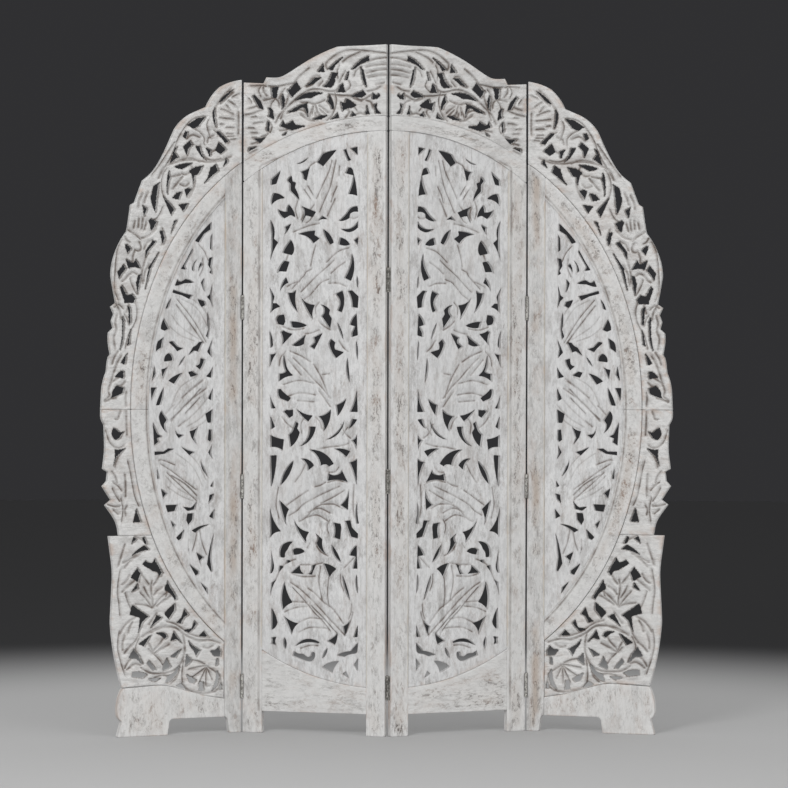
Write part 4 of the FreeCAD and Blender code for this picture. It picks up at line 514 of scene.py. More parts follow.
class JaliScreenColours(bpy.types.PropertyGroup):
    """Colours of the whitewash, its wear and the hinges."""
    limewash: colour("Limewash", "Worn white of the frame", (0.68, 0.675, 0.665))
    jali_white: colour("Jali white", "Smoother white of the jali boards", (0.68, 0.68, 0.68))
    fleck: colour("Fleck", "Dark wood that shows through the whitewash", (0.13, 0.115, 0.105))
    bare_wood: colour("Bare wood", "Reddish wood where the whitewash has worn through", (0.25, 0.185, 0.15))
    grime: colour("Grime", "Grey of the thin, dirty places in the whitewash", (0.36, 0.345, 0.335))
    # This colour is painted shade as well as brown stain: it darkens the carving's cuts, the scoops beside
    # them and the edges of the openings.
    stain_and_shade: colour("Stain", "Brown left in the carving's recesses", (0.115, 0.085, 0.068))
    wear: colour("Wear", "Pinkish brown of rubbed edges", (0.47, 0.37, 0.31))
    tan: colour("Tan", "Brownish tint in broad patches along the stiles", (0.45, 0.395, 0.35))
    cream: colour("Cream", "Cream filler in the line between board and frame", (0.50, 0.44, 0.33))
    hinge: colour("Hinge", "Painted-over hinge leaves", (0.52, 0.51, 0.48))
    pin: colour("Pin", "Dull steel of the hinge pins and screws", (0.23, 0.22, 0.20))
    floor: colour("Floor", "Pale studio floor", (0.46, 0.46, 0.46))
    backdrop: colour("Backdrop", "Dark grey behind the floor, seen through the openings", (0.03, 0.03, 0.032))


def sizes():
    """The size properties."""
    return bpy.context.scene.jali_screen_sizes


def colours():
    """The colour properties."""
    return bpy.context.scene.jali_screen_colours


def rgba(value):
    """A colour property as a node's colour."""
    return (*value, 1.0)


# ---- where a leaf stands, in millimetres ----
FOLD_ANGLE = math.radians(21)
LEAF_THICKNESS = 18.0
PIN_OFFSET = 3.8
LEAVES = {
    "inner": {"turn": FOLD_ANGLE, "pin_y": LEAF_THICKNESS + PIN_OFFSET, "joint": "centre_fold"},
    "outer": {"turn": -FOLD_ANGLE, "pin_y": -PIN_OFFSET, "joint": "right_fold"},
}
SIDES = ("right", "left")


def leaf_matrix(leaf, side):
    """From the leaf's own frame, in metres, to the screen's frame."""
    facts = LEAVES[leaf]
    joint = next(j for j in frame["joints"] if j["name"] == facts["joint"])
    matrix = (Matrix.Translation(joint["pos_m"]) @ Matrix.Rotation(facts["turn"], 4, "Z")
              @ Matrix.Translation((0, -facts["pin_y"] * MM, 0)))
    return Matrix.Scale(-1, 4, (1, 0, 0)) @ matrix if side == "left" else matrix


def in_leaf(node, leaf, side="right"):
    """A CAD node's points in its leaf's own frame, in millimetres."""
    points = np.array([v.co for v in frame["nodes"][node].data.vertices], float)
    turn = np.array(leaf_matrix(leaf, side).inverted())
    return (points @ turn[:3, :3].T + turn[:3, 3]) / MM


def node_span(node, leaf):
    """Lowest and highest (u, y, z) of a right-hand CAD node in its leaf's frame."""
    points = in_leaf(node, leaf)
    return points.min(0), points.max(0)


# How far from the front's plane the corners of its faces may lie.
FLAT = 0.01


def board_outline(node, leaf):
    """Outer outline of a CAD board's front face as (u, z) points, and the depths of front and back."""
    points = in_leaf(node, leaf)
    front, back = points[:, 1].min(), points[:, 1].max()
    keys = [tuple(np.round(p[[0, 2]], 2)) for p in points]
    seen = {}
    for face in frame["nodes"][node].data.polygons:
        corners = list(face.vertices)
        if max(abs(points[i, 1] - front) for i in corners) > FLAT:
            continue
        for a, b in zip(corners, corners[1:] + corners[:1]):
            seen[(keys[a], keys[b])] = seen.get((keys[a], keys[b]), 0) + 1
    following = {a: b for a, b in seen if (b, a) not in seen and a != b}
    loops = []
    while following:
        start, here = following.popitem()
        loop = [start]
        while here != start and here in following:
            loop.append(here)
            here = following.pop(here)
        loops.append(loop)
    widest = max(loops, key=lambda loop: max(p[0] for p in loop) - min(p[0] for p in loop)
                 + max(p[1] for p in loop) - min(p[1] for p in loop))
    return eased_outline(eased_outline(widest)), front, back


# Corners that turn by less than SOFT_CORNER between sides longer than LONG_SIDE are cut by up to CORNER_CUT,
# and by no more than CORNER_SHARE of a side.
SOFT_CORNER = math.radians(30)
LONG_SIDE = 10.0
CORNER_CUT = 14.0
CORNER_SHARE = 0.25


def eased_outline(loop):
    """The outline with its blunt corners between long sides cut, so that scallops run smooth."""
    eased = []
    for before, here, after in zip(loop[-1:] + loop[:-1], loop, loop[1:] + loop[:1]):
        back_run = Vector(before) - Vector(here)
        on_run = Vector(after) - Vector(here)
        if min(back_run.length, on_run.length) < LONG_SIDE or back_run.angle(-on_run) > SOFT_CORNER:
            eased.append(here)
            continue
        for run in (back_run, on_run):
            eased.append(tuple(Vector(here) + run * min(CORNER_SHARE, CORNER_CUT / run.length)))
    return eased


def stretch(value, drawn, real):
    """Carry a drawn coordinate from its drawn span to the real one."""
    return real[0] + (value - drawn[0]) * (real[1] - real[0]) / (drawn[1] - drawn[0])


# Spans of the drawings, and how many straight parts stand for a bowed side and for each run of a smooth line.
DRAWN_U = {"inner": (8.4, 398.5), "outer": (1.5, 396.0)}
DRAWN_CREST = (1614.0, 1804.0)
ARC_PARTS = 6
LINE_PARTS = 4


def real_u(leaf):
    """The leaf's real span in u, from the CAD pieces that fill it."""
    node = "right_inner_arch_rail" if leaf == "inner" else "right_outer_upper_border"
    low, high = node_span(node, leaf)
    return low[0], high[0]


def side_fold_u(leaf):
    """Where the leaf's edge at the side fold is."""
    return real_u(leaf)[1 if leaf == "inner" else 0]


def laid_on(points, leaf, crest=False):
    """Drawn points at their real place on the leaf."""
    across = real_u(leaf)
    top = node_span("right_inner_crest_board", "inner")[1][2]
    rows = []
    for point in points:
        z = stretch(point[1], DRAWN_CREST, (DRAWN_CREST[0], top)) if crest else point[1]
        rows.append((stretch(point[0], DRAWN_U[leaf], across), z, *point[2:]))
    return rows


def opening_outline(rows):
    """Outline of an opening with its bowed sides as arcs."""
    outline = []
    for row, after in zip(rows, rows[1:] + rows[:1]):
        u0, z0 = row[:2]
        u1, z1 = after[:2]
        outline.append((u0, z0))
        bow = row[2] if len(row) > 2 else 0
        if not bow:
            continue
        for i in range(1, ARC_PARTS):
            t = i / ARC_PARTS
            rise = 4 * bow * t * (1 - t) / math.hypot(u1 - u0, z1 - z0)
            outline.append((u0 + (u1 - u0) * t - (z1 - z0) * rise, z0 + (z1 - z0) * t + (u1 - u0) * rise))
    return outline


# ---- distance fields on a leaf ----
# Distances are right up to REACH, and no field holds a larger one. A point on a line counts as on its left.
REACH = 24.0
ON_LINE = 1e-9


def segments_of(loops, closed=True):
    """Starts and ends of the loops' sides."""
    starts, ends = [], []
    for loop in loops:
        following = loop[1:] + loop[:1] if closed else loop[1:]
        for a, b in zip(loop, following):
            if a != b:
                starts.append(a)
                ends.append(b)
    return np.array(starts, float).reshape(-1, 2), np.array(ends, float).reshape(-1, 2)


def near_sides(starts, ends, u, z):
    """For each row of the grid: its index, which sides are within REACH of it, its points' offsets from those
    sides' starts, and the squares of their distances from those sides."""
    low, high = np.minimum(starts[:, 1], ends[:, 1]), np.maximum(starts[:, 1], ends[:, 1])
    for row, height in enumerate(z):
        near = (low <= height + REACH) & (high >= height - REACH)
        if not near.any():
            continue
        run = (ends - starts)[near]
        px = u[:, None] - starts[near, 0]
        pz = height - starts[near, 1]
        t = np.clip((px * run[:, 0] + pz * run[:, 1]) / (run ** 2).sum(1), 0, 1)
        yield row, near, px, pz, (px - t * run[:, 0]) ** 2 + (pz - t * run[:, 1]) ** 2


def distance_rows(loops, u, z):
    """Distance from each grid point to the nearest side of the loops, positive inside them."""
    field = np.full((len(z), len(u)), -REACH)
    starts, ends = segments_of(loops)
    for row, near, _, _, square in near_sides(starts, ends, u, z):
        away = np.minimum(np.sqrt(square.min(1)), REACH)
        a, b = starts[near], ends[near]
        spans = (a[:, 1] > z[row]) != (b[:, 1] > z[row])
        a, run = a[spans], (b - a)[spans]
        meet = a[:, 0] + (z[row] - a[:, 1]) * run[:, 0] / run[:, 1]
        inside = (u[:, None] < meet).sum(1) % 2 == 1
        field[row] = np.where(inside, away, -away)
    return field


def line_rows(lines, u, z):
    """Distance from each grid point to the nearest carved line, and the side it lies on, 1 or -1."""
    away = np.full((len(z), len(u)), REACH)
    side = np.ones_like(away)
    starts, ends = segments_of(lines, closed=False)
    each = np.arange(len(u))
    for row, near, px, pz, square in near_sides(starts, ends, u, z):
        run = (ends - starts)[near]
        nearest = square.argmin(1)
        away[row] = np.minimum(np.sqrt(square[each, nearest]), REACH)
        side[row] = np.sign(run[nearest, 0] * pz[nearest] - run[nearest, 1] * px[each, nearest] + ON_LINE)
    return away, side


def softened(field, times=1):
    """The field with its sharp corners eased by as many small blurs."""
    for _ in range(times):
        padded = np.pad(field, 1, mode="edge")
        field = (4 * field + padded[:-2, 1:-1] + padded[2:, 1:-1] + padded[1:-1, :-2] + padded[1:-1, 2:]) / 8
    return field


# Waves of the hand-planed surface: radians per millimetre across and up, and where each starts.
WAVES = ((0.041, 0.013, 0.3), (0.067, -0.029, 1.9), (0.023, 0.051, 4.1), (0.11, 0.037, 2.6))


def unevenness(u, z):
    """Gentle hand-planed waviness of the surface, about -1 to 1."""
    uu, zz = np.meshgrid(u, z)
    return sum(np.sin(uu * a + zz * b + c) for a, b, c in WAVES) / len(WAVES)


def chiselled(u, z):
    """Short, uneven tool marks over the carving, about -1 to 1."""
    uu, zz = np.meshgrid(u, z)
    return (np.sin(0.61 * uu + 1.7 * np.sin(0.17 * zz)) * np.sin(0.53 * zz + 1.9 * np.sin(0.14 * uu + 1.0))
            + 0.6 * np.sin(1.07 * uu - 0.83 * zz + 1.5 * np.sin(0.23 * zz + 0.09 * uu))) / 1.6


# An outline's point keeps this share of a grid step between itself and a grid point.
CLOSEST = 0.04


def surface_mesh(name, field, drop, values, u, z, front, back, back_drop=None):
    """Mesh of the stuff where the field is positive: a carved front, walls through the thickness, and a back
    that is flat, or eased like back_drop. values are point attributes on the same grid."""
    inside = field > 0
    where = np.argwhere(inside)
    index = np.full(field.shape, -1, int)
    index[inside] = np.arange(len(where))
    edge_at, crossing = [], {}

    def cross(r0, c0, r1, c1):
        """Index of the outline's point between an inner and an outer grid point."""
        key = (r0, c0, r1, c1) if (r0, c0) < (r1, c1) else (r1, c1, r0, c0)
        if key not in crossing:
            f0, f1 = field[key[0], key[1]], field[key[2], key[3]]
            crossing[key] = len(where) + len(edge_at)
            edge_at.append((*key, min(max(f0 / (f0 - f1), CLOSEST), 1 - CLOSEST)))
        return crossing[key]

    full = inside[:-1, :-1] & inside[1:, :-1] & inside[:-1, 1:] & inside[1:, 1:]
    some = (inside[:-1, :-1] | inside[1:, :-1] | inside[:-1, 1:] | inside[1:, 1:]) & ~full
    r, c = np.nonzero(full)
    faces = np.column_stack([index[r, c], index[r, c + 1], index[r + 1, c + 1], index[r + 1, c]]).tolist()
    rim = []
    for r, c in np.argwhere(some).tolist():
        around = [(r, c), (r, c + 1), (r + 1, c + 1), (r + 1, c)]
        corners = []
        for (r0, c0), (r1, c1) in zip(around, around[1:] + around[:1]):
            if inside[r0, c0]:
                corners.append((int(index[r0, c0]), False))
            if inside[r0, c0] != inside[r1, c1]:
                corners.append((cross(r0, c0, r1, c1), True))
        faces.append([i for i, _ in corners])
        rim += [(a, b) for (a, on_a), (b, on_b) in zip(corners, corners[1:] + corners[:1])
                if on_a and on_b]
    cut = np.array(edge_at, float).reshape(-1, 5)
    r0, c0, r1, c1 = cut[:, :4].astype(int).T
    share = cut[:, 4]

    def sampled(grid):
        """A grid's values at every point of the front."""
        return np.concatenate([grid[inside], grid[r0, c0] * (1 - share) + grid[r1, c1] * share])

    uu, zz = np.meshgrid(u, z)
    across, up = sampled(uu), sampled(zz)
    front_points = np.column_stack([across, front + sampled(drop), up])
    count = len(front_points)
    if back_drop is None:
        ring = sorted({i for pair in rim for i in pair})
        below = {i: count + k for k, i in enumerate(ring)}
        back_points = np.column_stack([across[ring], np.full(len(ring), back), up[ring]])
        back_faces = filled_back(back_points, [(below[a] - count, below[b] - count) for a, b in rim], count)
    else:
        ring = list(range(count))
        below = {i: count + i for i in ring}
        back_points = np.column_stack([across, back - sampled(back_drop), up])
        back_faces = [[count + i for i in reversed(face)] for face in faces]
    walls = [(b, a, below[a], below[b]) for a, b in rim]
    mesh = bpy.data.meshes.new(name)
    mesh.from_pydata((np.vstack([front_points, back_points]) * MM).tolist(), [], faces + back_faces + walls)
    smooth = np.zeros(len(mesh.polygons), bool)
    smooth[:len(faces) if back_drop is None else len(faces) * 2] = True
    mesh.polygons.foreach_set("use_smooth", smooth)
    for kind, grid in values.items():
        numbers = sampled(grid)
        behind = np.zeros(len(ring)) if back_drop is None else numbers[ring]
        numbers = np.concatenate([numbers, behind]).astype(np.float32)
        mesh.attributes.new(kind, "FLOAT", "POINT").data.foreach_set("value", numbers)
    return mesh


def filled_back(points, sides, offset):
    """Triangles that fill the outlines on the flat back."""
    bm = bmesh.new()
    corners = [bm.verts.new(p * MM) for p in points]
    edges = [bm.edges.new((corners[a], corners[b])) for a, b in sides]
    bm.verts.index_update()
    bmesh.ops.triangle_fill(bm, use_beauty=False, edges=edges, normal=(0, 1, 0))
    triangles = []
    for face in bm.faces:
        around = [v.index + offset for v in face.verts]
        triangles.append(around if face.normal.y > 0 else around[::-1])
    bm.free()
    return triangles


def finish_mesh(mesh, leaf, side, node, material):
    """Set a leaf's mesh in its place as a piece that rides on its body and replaces the CAD node, if any."""
    mesh.transform(leaf_matrix(leaf, side))
    if side == "left":
        mesh.flip_normals()
    piece = bpy.data.objects.new(mesh.name, mesh)
    bpy.context.scene.collection.objects.link(piece)
    mesh.materials.append(material)
    if node:
        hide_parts(node)
    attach(piece, f"{leaf}_{side}")


# ---- the pieces ----
def eased(distance, reach, depth):
    """Drop of a surface near an edge: depth at the edge, nothing beyond reach, round between."""
    t = np.clip(distance / reach, 0, 1)
    return depth * (1 - np.sqrt(1 - (1 - t) ** 2))


def smooth_line(points):
    """Points of a smooth line through the given ones."""
    if len(points) < 3:
        return list(points)
    padded = [points[0], *points, points[-1]]
    line = []
    for p0, p1, p2, p3 in zip(padded, padded[1:], padded[2:], padded[3:]):
        for i in range(LINE_PARTS):
            t = i / LINE_PARTS
            line.append(tuple(0.5 * (2 * b + (c - a) * t + (2 * a - 5 * b + 4 * c - d) * t ** 2
                                     + (3 * b - a - 3 * c + d) * t ** 3)
                              for a, b, c, d in zip(p0, p1, p2, p3)))
    return line + [points[-1]]


def grid_over(loop, step):
    """Grid coordinates that cover an outline."""
    spans = [(min(p[k] for p in loop), max(p[k] for p in loop)) for k in (0, 1)]
    return [np.arange(low - 1.5 * step, high + 2.5 * step, step) for low, high in spans]


BOARDS = {
    "inner_jali_board": ("inner", INNER_JALI_HOLES, INNER_JALI_VEINS),
    "outer_jali_board": ("outer", OUTER_JALI_HOLES, OUTER_JALI_VEINS),
    "inner_crest_board": ("inner", CREST_HOLES, CREST_VEINS + CREST_FAN),
    "outer_upper_border": ("outer", UPPER_BORDER_HOLES, UPPER_BORDER_VEINS + UPPER_BORDER_FAN),
    "outer_lower_border": ("outer", LOWER_BORDER_HOLES, LOWER_BORDER_VEINS),
    "outer_corner_board": ("outer", CORNER_HOLES, CORNER_VEINS),
}
SIDE_VEINS = {"outer_jali_board": OUTER_JALI_SIDE_VEINS}
# Solid wood kept along a board's outline, in millimetres.
PLAIN_RIM = 3.0
# Veins outside the jali are bolder by this, and side veins have this share of a vein's depth.
BOLD = 1.4
FAINT = 0.5
# Depths of the waviness and of the tool marks, in millimetres.
WAVE_DEPTH = 0.25
TOOL_MARK_DEPTH = 0.4
# Reach and depth of the rounding along a carved board's outline. Over the last FOLD_REACH before the side
# fold, it shrinks to FOLD_SHARE.
RIM_REACH = 6.0
RIM_DEPTH = 4.0
FOLD_REACH = 8.0
FOLD_SHARE = 0.15
# Strength and reach of the painted shade in the scooped sides of veins, and of the stain and painted shade
# round the openings.
JALI_SCOOP_SHADE = (0.2, 5)
JALI_HOLE_STAIN_AND_SHADE = (0.35, 2.0)
CARVED_SCOOP_SHADE = (0.4, 7)
CARVED_HOLE_STAIN_AND_SHADE = (0.8, 2.5)
# How far in from a board's outline its paint is rubbed.
RUB_REACH = 12


def stained_and_shaded(cut, scoop, vein, gap, scoop_shade, hole_stain_and_shade):
    """Stain and painted shade of a board, from 0 to 1: in its cuts, in the scoops beside them and round its
    openings.
    """
    (scoop_strength, scoop_reach), (hole_strength, hole_reach) = scoop_shade, hole_stain_and_shade
    stain_and_shade = (cut + scoop_strength * scoop * (vein < scoop_reach)
             + hole_strength * np.clip(1 - gap / hole_reach, 0, 1))
    return np.clip(stain_and_shade, 0, 1)


def board_mesh(kind):
    """A pierced board in its leaf's frame: openings, rounded stems and cut veins."""
    leaf, holes, veins = BOARDS[kind]
    set_in = "jali" in kind
    crest = "crest" in kind
    wanted = sizes()
    step = (wanted.jali_step if set_in else wanted.carving_step) / MM
    loop, front, back = board_outline(f"right_{kind}", leaf)
    u, z = grid_over(loop, step)
    outline = distance_rows([loop], u, z)
    gap = -distance_rows([opening_outline(laid_on(rows, leaf, crest)) for rows in holes], u, z)
    if set_in:
        gap = gap - wanted.jali_opened / MM
    else:
        gap = gap - wanted.carved_opened / MM + chiselled(u, z) * wanted.ragged / MM
    gap = softened(np.maximum(gap, PLAIN_RIM - outline))
    field = np.minimum(outline, gap)
    vein, side = line_rows([smooth_line(laid_on(line, leaf, crest)) for line in veins], u, z)
    faint_lines = [smooth_line(laid_on(line, leaf, crest)) for line in SIDE_VEINS.get(kind, ())]
    faint = np.exp(-(2 * line_rows(faint_lines, u, z)[0] / (wanted.vein_width / MM)) ** 2) * FAINT
    bold = 1.0 if set_in else BOLD
    cut = np.exp(-(2 * vein / (wanted.vein_width * bold / MM)) ** 2)
    scoop = np.where(side > 0, np.exp(-vein / (wanted.scoop_width / MM)), 0)
    drop = cut * wanted.vein_depth * bold ** 2 / MM + WAVE_DEPTH * (1 + unevenness(u, z))
    drop += (softened(scoop, 2) * wanted.scoop_depth * bold + faint * wanted.vein_depth) / MM
    # recess holds painted shade in the scoops, and stain with painted shade in the cuts and round the
    # openings.
    if set_in:
        drop += eased(gap, wanted.jali_round / MM, wanted.jali_drop / MM)
        recess = stained_and_shaded(np.maximum(cut, faint), scoop, vein, gap, JALI_SCOOP_SHADE, JALI_HOLE_STAIN_AND_SHADE)
    else:
        tool_marks = TOOL_MARK_DEPTH * (1 + chiselled(u, z))
        drop += eased(gap, wanted.carved_round / MM, wanted.carved_drop / MM) + tool_marks
        to_fold = np.clip(np.abs(u - side_fold_u(leaf)) / FOLD_REACH, FOLD_SHARE, 1)
        drop = np.maximum(drop, eased(outline, RIM_REACH, RIM_DEPTH) * to_fold)
        recess = stained_and_shaded(cut ** 1.5, scoop, vein, gap, CARVED_SCOOP_SHADE, CARVED_HOLE_STAIN_AND_SHADE)
    edge = np.clip(1 - np.minimum(np.abs(outline), RUB_REACH) / RUB_REACH, 0, 1)
    return surface_mesh(kind, field, drop, {"recess": recess, "edge": edge}, u, z, front, back)


def put_boards(kinds, material):
    """Make each kind of board once and set it on both sides."""
    for kind in kinds:
        made = board_mesh(kind)
        for side in SIDES:
            mesh = made.copy()
            mesh.name = f"carved_{side}_{kind}"
            finish_mesh(mesh, BOARDS[kind][0], side, f"{side}_{kind}", material)


FRAME_KINDS = {
    "inner_centre_stile": "inner", "inner_side_stile": "inner", "outer_stile": "outer",
    "inner_arch_rail": "inner", "inner_bottom_rail": "inner", "outer_upper_ring_rail": "outer",
    "outer_lower_ring_rail": "outer", "outer_foot_rail": "outer",
}
# In millimetres: where the worn band inside an edge starts and how far it rises, how deep the jali's tongue
# is in its groove, how wide the filler beside it is, how far edges are rubbed, and the depth of the waviness.
BAND_START = 5.0
BAND_RISE = 14.0
JALI_TONGUE = 8.0
FILLER_REACH = 3.5
EDGE_RUB_REACH = 5.0
FRAME_WAVE_DEPTH = 0.2
# The rounding of the frame's edges reaches this many times its depth.
ROUND_REACH = 1.6
# Fine lines scratched into the frame beside the jali board, in the leaf's frame.
FRAME_LINES = {
    "inner_side_stile": [[(347.5, 60), (347.5, 1484)]],
    "inner_arch_rail": [[(347.5, 1470), (347, 1482), (342, 1489), (330, 1494), (309, 1503), (278, 1516)]],
}


def frame_mesh(kind):
    """A stile or rail in its leaf's frame, with eased edges front and back and, on the ring, a bead."""
    leaf = FRAME_KINDS[kind]
    wanted = sizes()
    loop, front, back = board_outline(f"right_{kind}", leaf)
    u, z = grid_over(loop, wanted.rail_step / MM)
    field = distance_rows([loop], u, z)
    to_jali = distance_rows([board_outline(f"right_{leaf}_jali_board", leaf)[0]], u, z)
    depth = wanted.edge_round / MM
    back_drop = eased(field, depth * ROUND_REACH, depth)
    drop = back_drop + FRAME_WAVE_DEPTH * (1 + unevenness(u, z))
    line = line_rows([smooth_line(points) for points in FRAME_LINES.get(kind, ())], u, z)[0]
    if "ring" in kind:
        line = np.abs(to_jali + wanted.bead_width / MM - JALI_TONGUE)
    # These lines are cut in as a groove and, through recess, darkened with stain and painted shade.
    recess = np.exp(-(2 * line / (wanted.vein_width * BOLD / MM)) ** 2)
    drop = drop + recess * wanted.vein_depth / MM
    band = np.clip((field - BAND_START) / BAND_RISE, 0, 1) ** 1.5
    cream = np.clip(1 - np.abs(to_jali - JALI_TONGUE) / FILLER_REACH, 0, 1)
    edge = np.clip(1 - field / EDGE_RUB_REACH, 0, 1) ** 2
    values = {"recess": recess, "band": band, "cream": cream, "edge": edge}
    return surface_mesh(kind, field, drop, values, u, z, front, back, back_drop)


def put_frame(kind, material):
    """Make a kind of stile or rail once and set it on both sides."""
    made = frame_mesh(kind)
    for side in SIDES:
        mesh = made.copy()
        mesh.name = f"worn_{side}_{kind}"
        finish_mesh(mesh, FRAME_KINDS[kind], side, f"{side}_{kind}", material)


# ---- materials ----
BUMP_STRENGTH = 0.6
# Depth in metres of the bumps on wood.
WOOD_BUMPS = 0.0006


class Shader:
    """A node material under construction."""

    def __init__(self, name):
        self.material = bpy.data.materials.new(name)
        self.material.use_nodes = True
        self.tree = self.material.node_tree
        self.surface = self.tree.nodes["Principled BSDF"]
        self.where = self.node("ShaderNodeTexCoord").outputs["Object"]

    def node(self, kind, inputs=(), **settings):
        """Add a node, with its settings, values and links."""
        made = self.tree.nodes.new(kind)
        for key, value in settings.items():
            setattr(made, key, value)
        for key, value in dict(inputs).items():
            if isinstance(value, bpy.types.NodeSocket):
                self.tree.links.new(value, made.inputs[key])
            else:
                made.inputs[key].default_value = value
        return made

    def noise(self, scale, detail=3.0, rough=0.5, stretch=(1, 1, 1), warp=0.0):
        """Noise value, with the coordinates stretched."""
        place = self.node("ShaderNodeMapping", {"Vector": self.where, "Scale": stretch}).outputs[0]
        return self.node("ShaderNodeTexNoise", {"Vector": place, "Scale": scale, "Detail": detail,
                                                "Roughness": rough, "Distortion": warp}).outputs[0]

    def step(self, value, low, high, out_low=0.0, out_high=1.0):
        """Value carried smoothly from one span to another."""
        return self.node("ShaderNodeMapRange", {"Value": value, "From Min": low, "From Max": high,
                                                "To Min": out_low, "To Max": out_high},
                         interpolation_type="SMOOTHSTEP").outputs[0]

    def maths(self, operation, a, b):
        """Arithmetic on two values."""
        return self.node("ShaderNodeMath", {0: a, 1: b}, operation=operation, use_clamp=True).outputs[0]

    def times(self, a, b):
        """Product of two values."""
        return self.maths("MULTIPLY", a, b)

    def mix(self, share, a, b):
        """Blend of two colours."""
        made = self.node("ShaderNodeMix", data_type="RGBA")
        for socket, value in ((made.inputs["Factor"], share), (made.inputs[6], a), (made.inputs[7], b)):
            if isinstance(value, bpy.types.NodeSocket):
                self.tree.links.new(value, socket)
            else:
                socket.default_value = value
        return made.outputs[2]

    def attribute(self, name):
        """A point attribute of the mesh."""
        return self.node("ShaderNodeAttribute", attribute_name=name).outputs["Fac"]

    def finish(self, shade, rough, bumps, distance=WOOD_BUMPS, metallic=0.0):
        """Link the results to the surface."""
        self.tree.links.new(shade, self.surface.inputs["Base Color"])
        if isinstance(rough, bpy.types.NodeSocket):
            self.tree.links.new(rough, self.surface.inputs["Roughness"])
        else:
            self.surface.inputs["Roughness"].default_value = rough
        self.surface.inputs["Metallic"].default_value = metallic
        bump = self.node("ShaderNodeBump", {"Height": bumps, "Strength": BUMP_STRENGTH, "Distance": distance})
        self.tree.links.new(bump.outputs[0], self.surface.inputs["Normal"])
        return self.material


# How the noise is stretched along the wood's grain, and the most that the coarser patterns are.
UPRIGHT_GRAIN = (1.0, 1.0, 0.06)
LEVEL_GRAIN = (0.06, 0.06, 1.0)
EVEN_GRAIN = (0.6, 0.6, 0.6)
HALF_GRAIN = 0.4


# The whitewash's base colour in its dull and dappled places, as shares of the full one.
DULL_SHARE = 0.94
DAPPLE_SHARE = 0.7
# Flecks outside the worn bands, rubbing away from the edges, stain and painted shade where they are thinnest,
# and filler's cover.
FEWEST_FLECKS = 0.35
LEAST_RUBBED = 0.15
LEAST_STAIN_AND_SHADE = 0.4
FILLER_COVER = 0.6
# Height of the whitewash, and how much lower its flecks and dapples lie.
WASH_HEIGHT = 0.9
FLECK_DEPTH = 0.6
DAPPLE_DEPTH = 0.5


def whitewash(name, base, grain, flecks, stain_and_shade, wear, mottle, tint=0.0):
    """Worn limewash on wood: streaks along the grain, bare flecks, recesses darkened by stain and painted
    shade, and rubbed edges.
    """
    made = Shader(name)
    wanted = colours()
    half_grain = tuple(max(k, HALF_GRAIN) for k in grain)
    broad = made.noise(4.0, 4.0, 0.6)
    cloud = made.noise(38.0, 5.0, 0.65, half_grain)
    streaks = made.noise(210.0, 4.0, 0.65, grain)
    speck = made.noise(150.0, 6.0, 0.8, half_grain, 0.6)
    fine = made.noise(420.0, 2.0, 0.5, half_grain)
    winding = made.noise(70.0, 3.0, 0.6, half_grain, 0.5)
    broken = made.noise(95.0, 2.0, 0.5, half_grain)
    patch = made.noise(19.0, 4.0, 0.65, half_grain, 0.8)
    dapple = made.noise(125.0, 4.0, 0.75, half_grain)
    band, edge, recess, cream = (made.attribute(kind) for kind in ("band", "edge", "recess", "cream"))

    shade = made.mix(made.step(broad, 0.35, 0.65), rgba([c * DULL_SHARE for c in base]), rgba(base))
    dappled = made.times(made.step(dapple, 0.40, 0.56, 1.0, 0.0), mottle)
    shade = made.mix(dappled, shade, rgba([c * DAPPLE_SHARE for c in base]))
    for grime in (made.step(cloud, 0.47, 0.68), made.step(streaks, 0.54, 0.72)):
        shade = made.mix(made.times(grime, mottle), shade, rgba(wanted.grime))
    tan = made.times(band, made.step(broad, 0.42, 0.6))
    shade = made.mix(made.times(tan, tint), shade, rgba(wanted.tan))

    crowd = made.times(made.step(cloud, 0.36, 0.62, 0.12, 1.0), made.maths("ADD", band, FEWEST_FLECKS))
    crowd = made.times(crowd, made.step(broad, 0.40, 0.60, 0.45, 1.0))
    worm = made.times(made.step(winding, 0.43, 0.47), made.step(winding, 0.53, 0.57, 1.0, 0.0))
    worm = made.times(worm, made.step(broken, 0.55, 0.63))
    fleck = made.times(made.step(speck, 0.52, 0.55), made.step(fine, 0.43, 0.52, 0.3, 1.0))
    fleck = made.maths("MAXIMUM", fleck, worm)
    fleck = made.times(fleck, made.times(crowd, flecks))
    bare = made.mix(made.step(patch, 0.45, 0.6), rgba(wanted.fleck), rgba(wanted.bare_wood))
    shade = made.mix(fleck, shade, bare)

    rubbed = made.times(made.step(patch, 0.50, 0.62), made.maths("ADD", edge, LEAST_RUBBED))
    shade = made.mix(made.times(rubbed, wear), shade, rgba(wanted.wear))
    # Stain and painted shade: the recess attribute darkens cuts, scoops and opening edges towards this
    # colour.
    hollow_stain_and_shade = made.times(recess, made.step(cloud, 0.35, 0.65, stain_and_shade * LEAST_STAIN_AND_SHADE, stain_and_shade))
    shade = made.mix(hollow_stain_and_shade, shade, rgba(wanted.stain_and_shade))
    shade = made.mix(made.times(cream, FILLER_COVER), shade, rgba(wanted.cream))

    sunk = made.maths("ADD", made.times(fleck, FLECK_DEPTH), made.times(dapple, DAPPLE_DEPTH))
    height = made.maths("SUBTRACT", WASH_HEIGHT, sunk)
    return made.finish(shade, made.step(cloud, 0.3, 0.7, 0.55, 0.7), height)


# Depth in metres of the bumps on metal, the hinge paint's duller share, and how dark and how covering its
# worn spots are.
METAL_BUMPS = 0.0002
DULL_PAINT = 0.85
SPOT_SHARE = 0.5
SPOT_COVER = 0.85
RUST = (0.16, 0.10, 0.07)
STEEL_METALLIC = 0.7


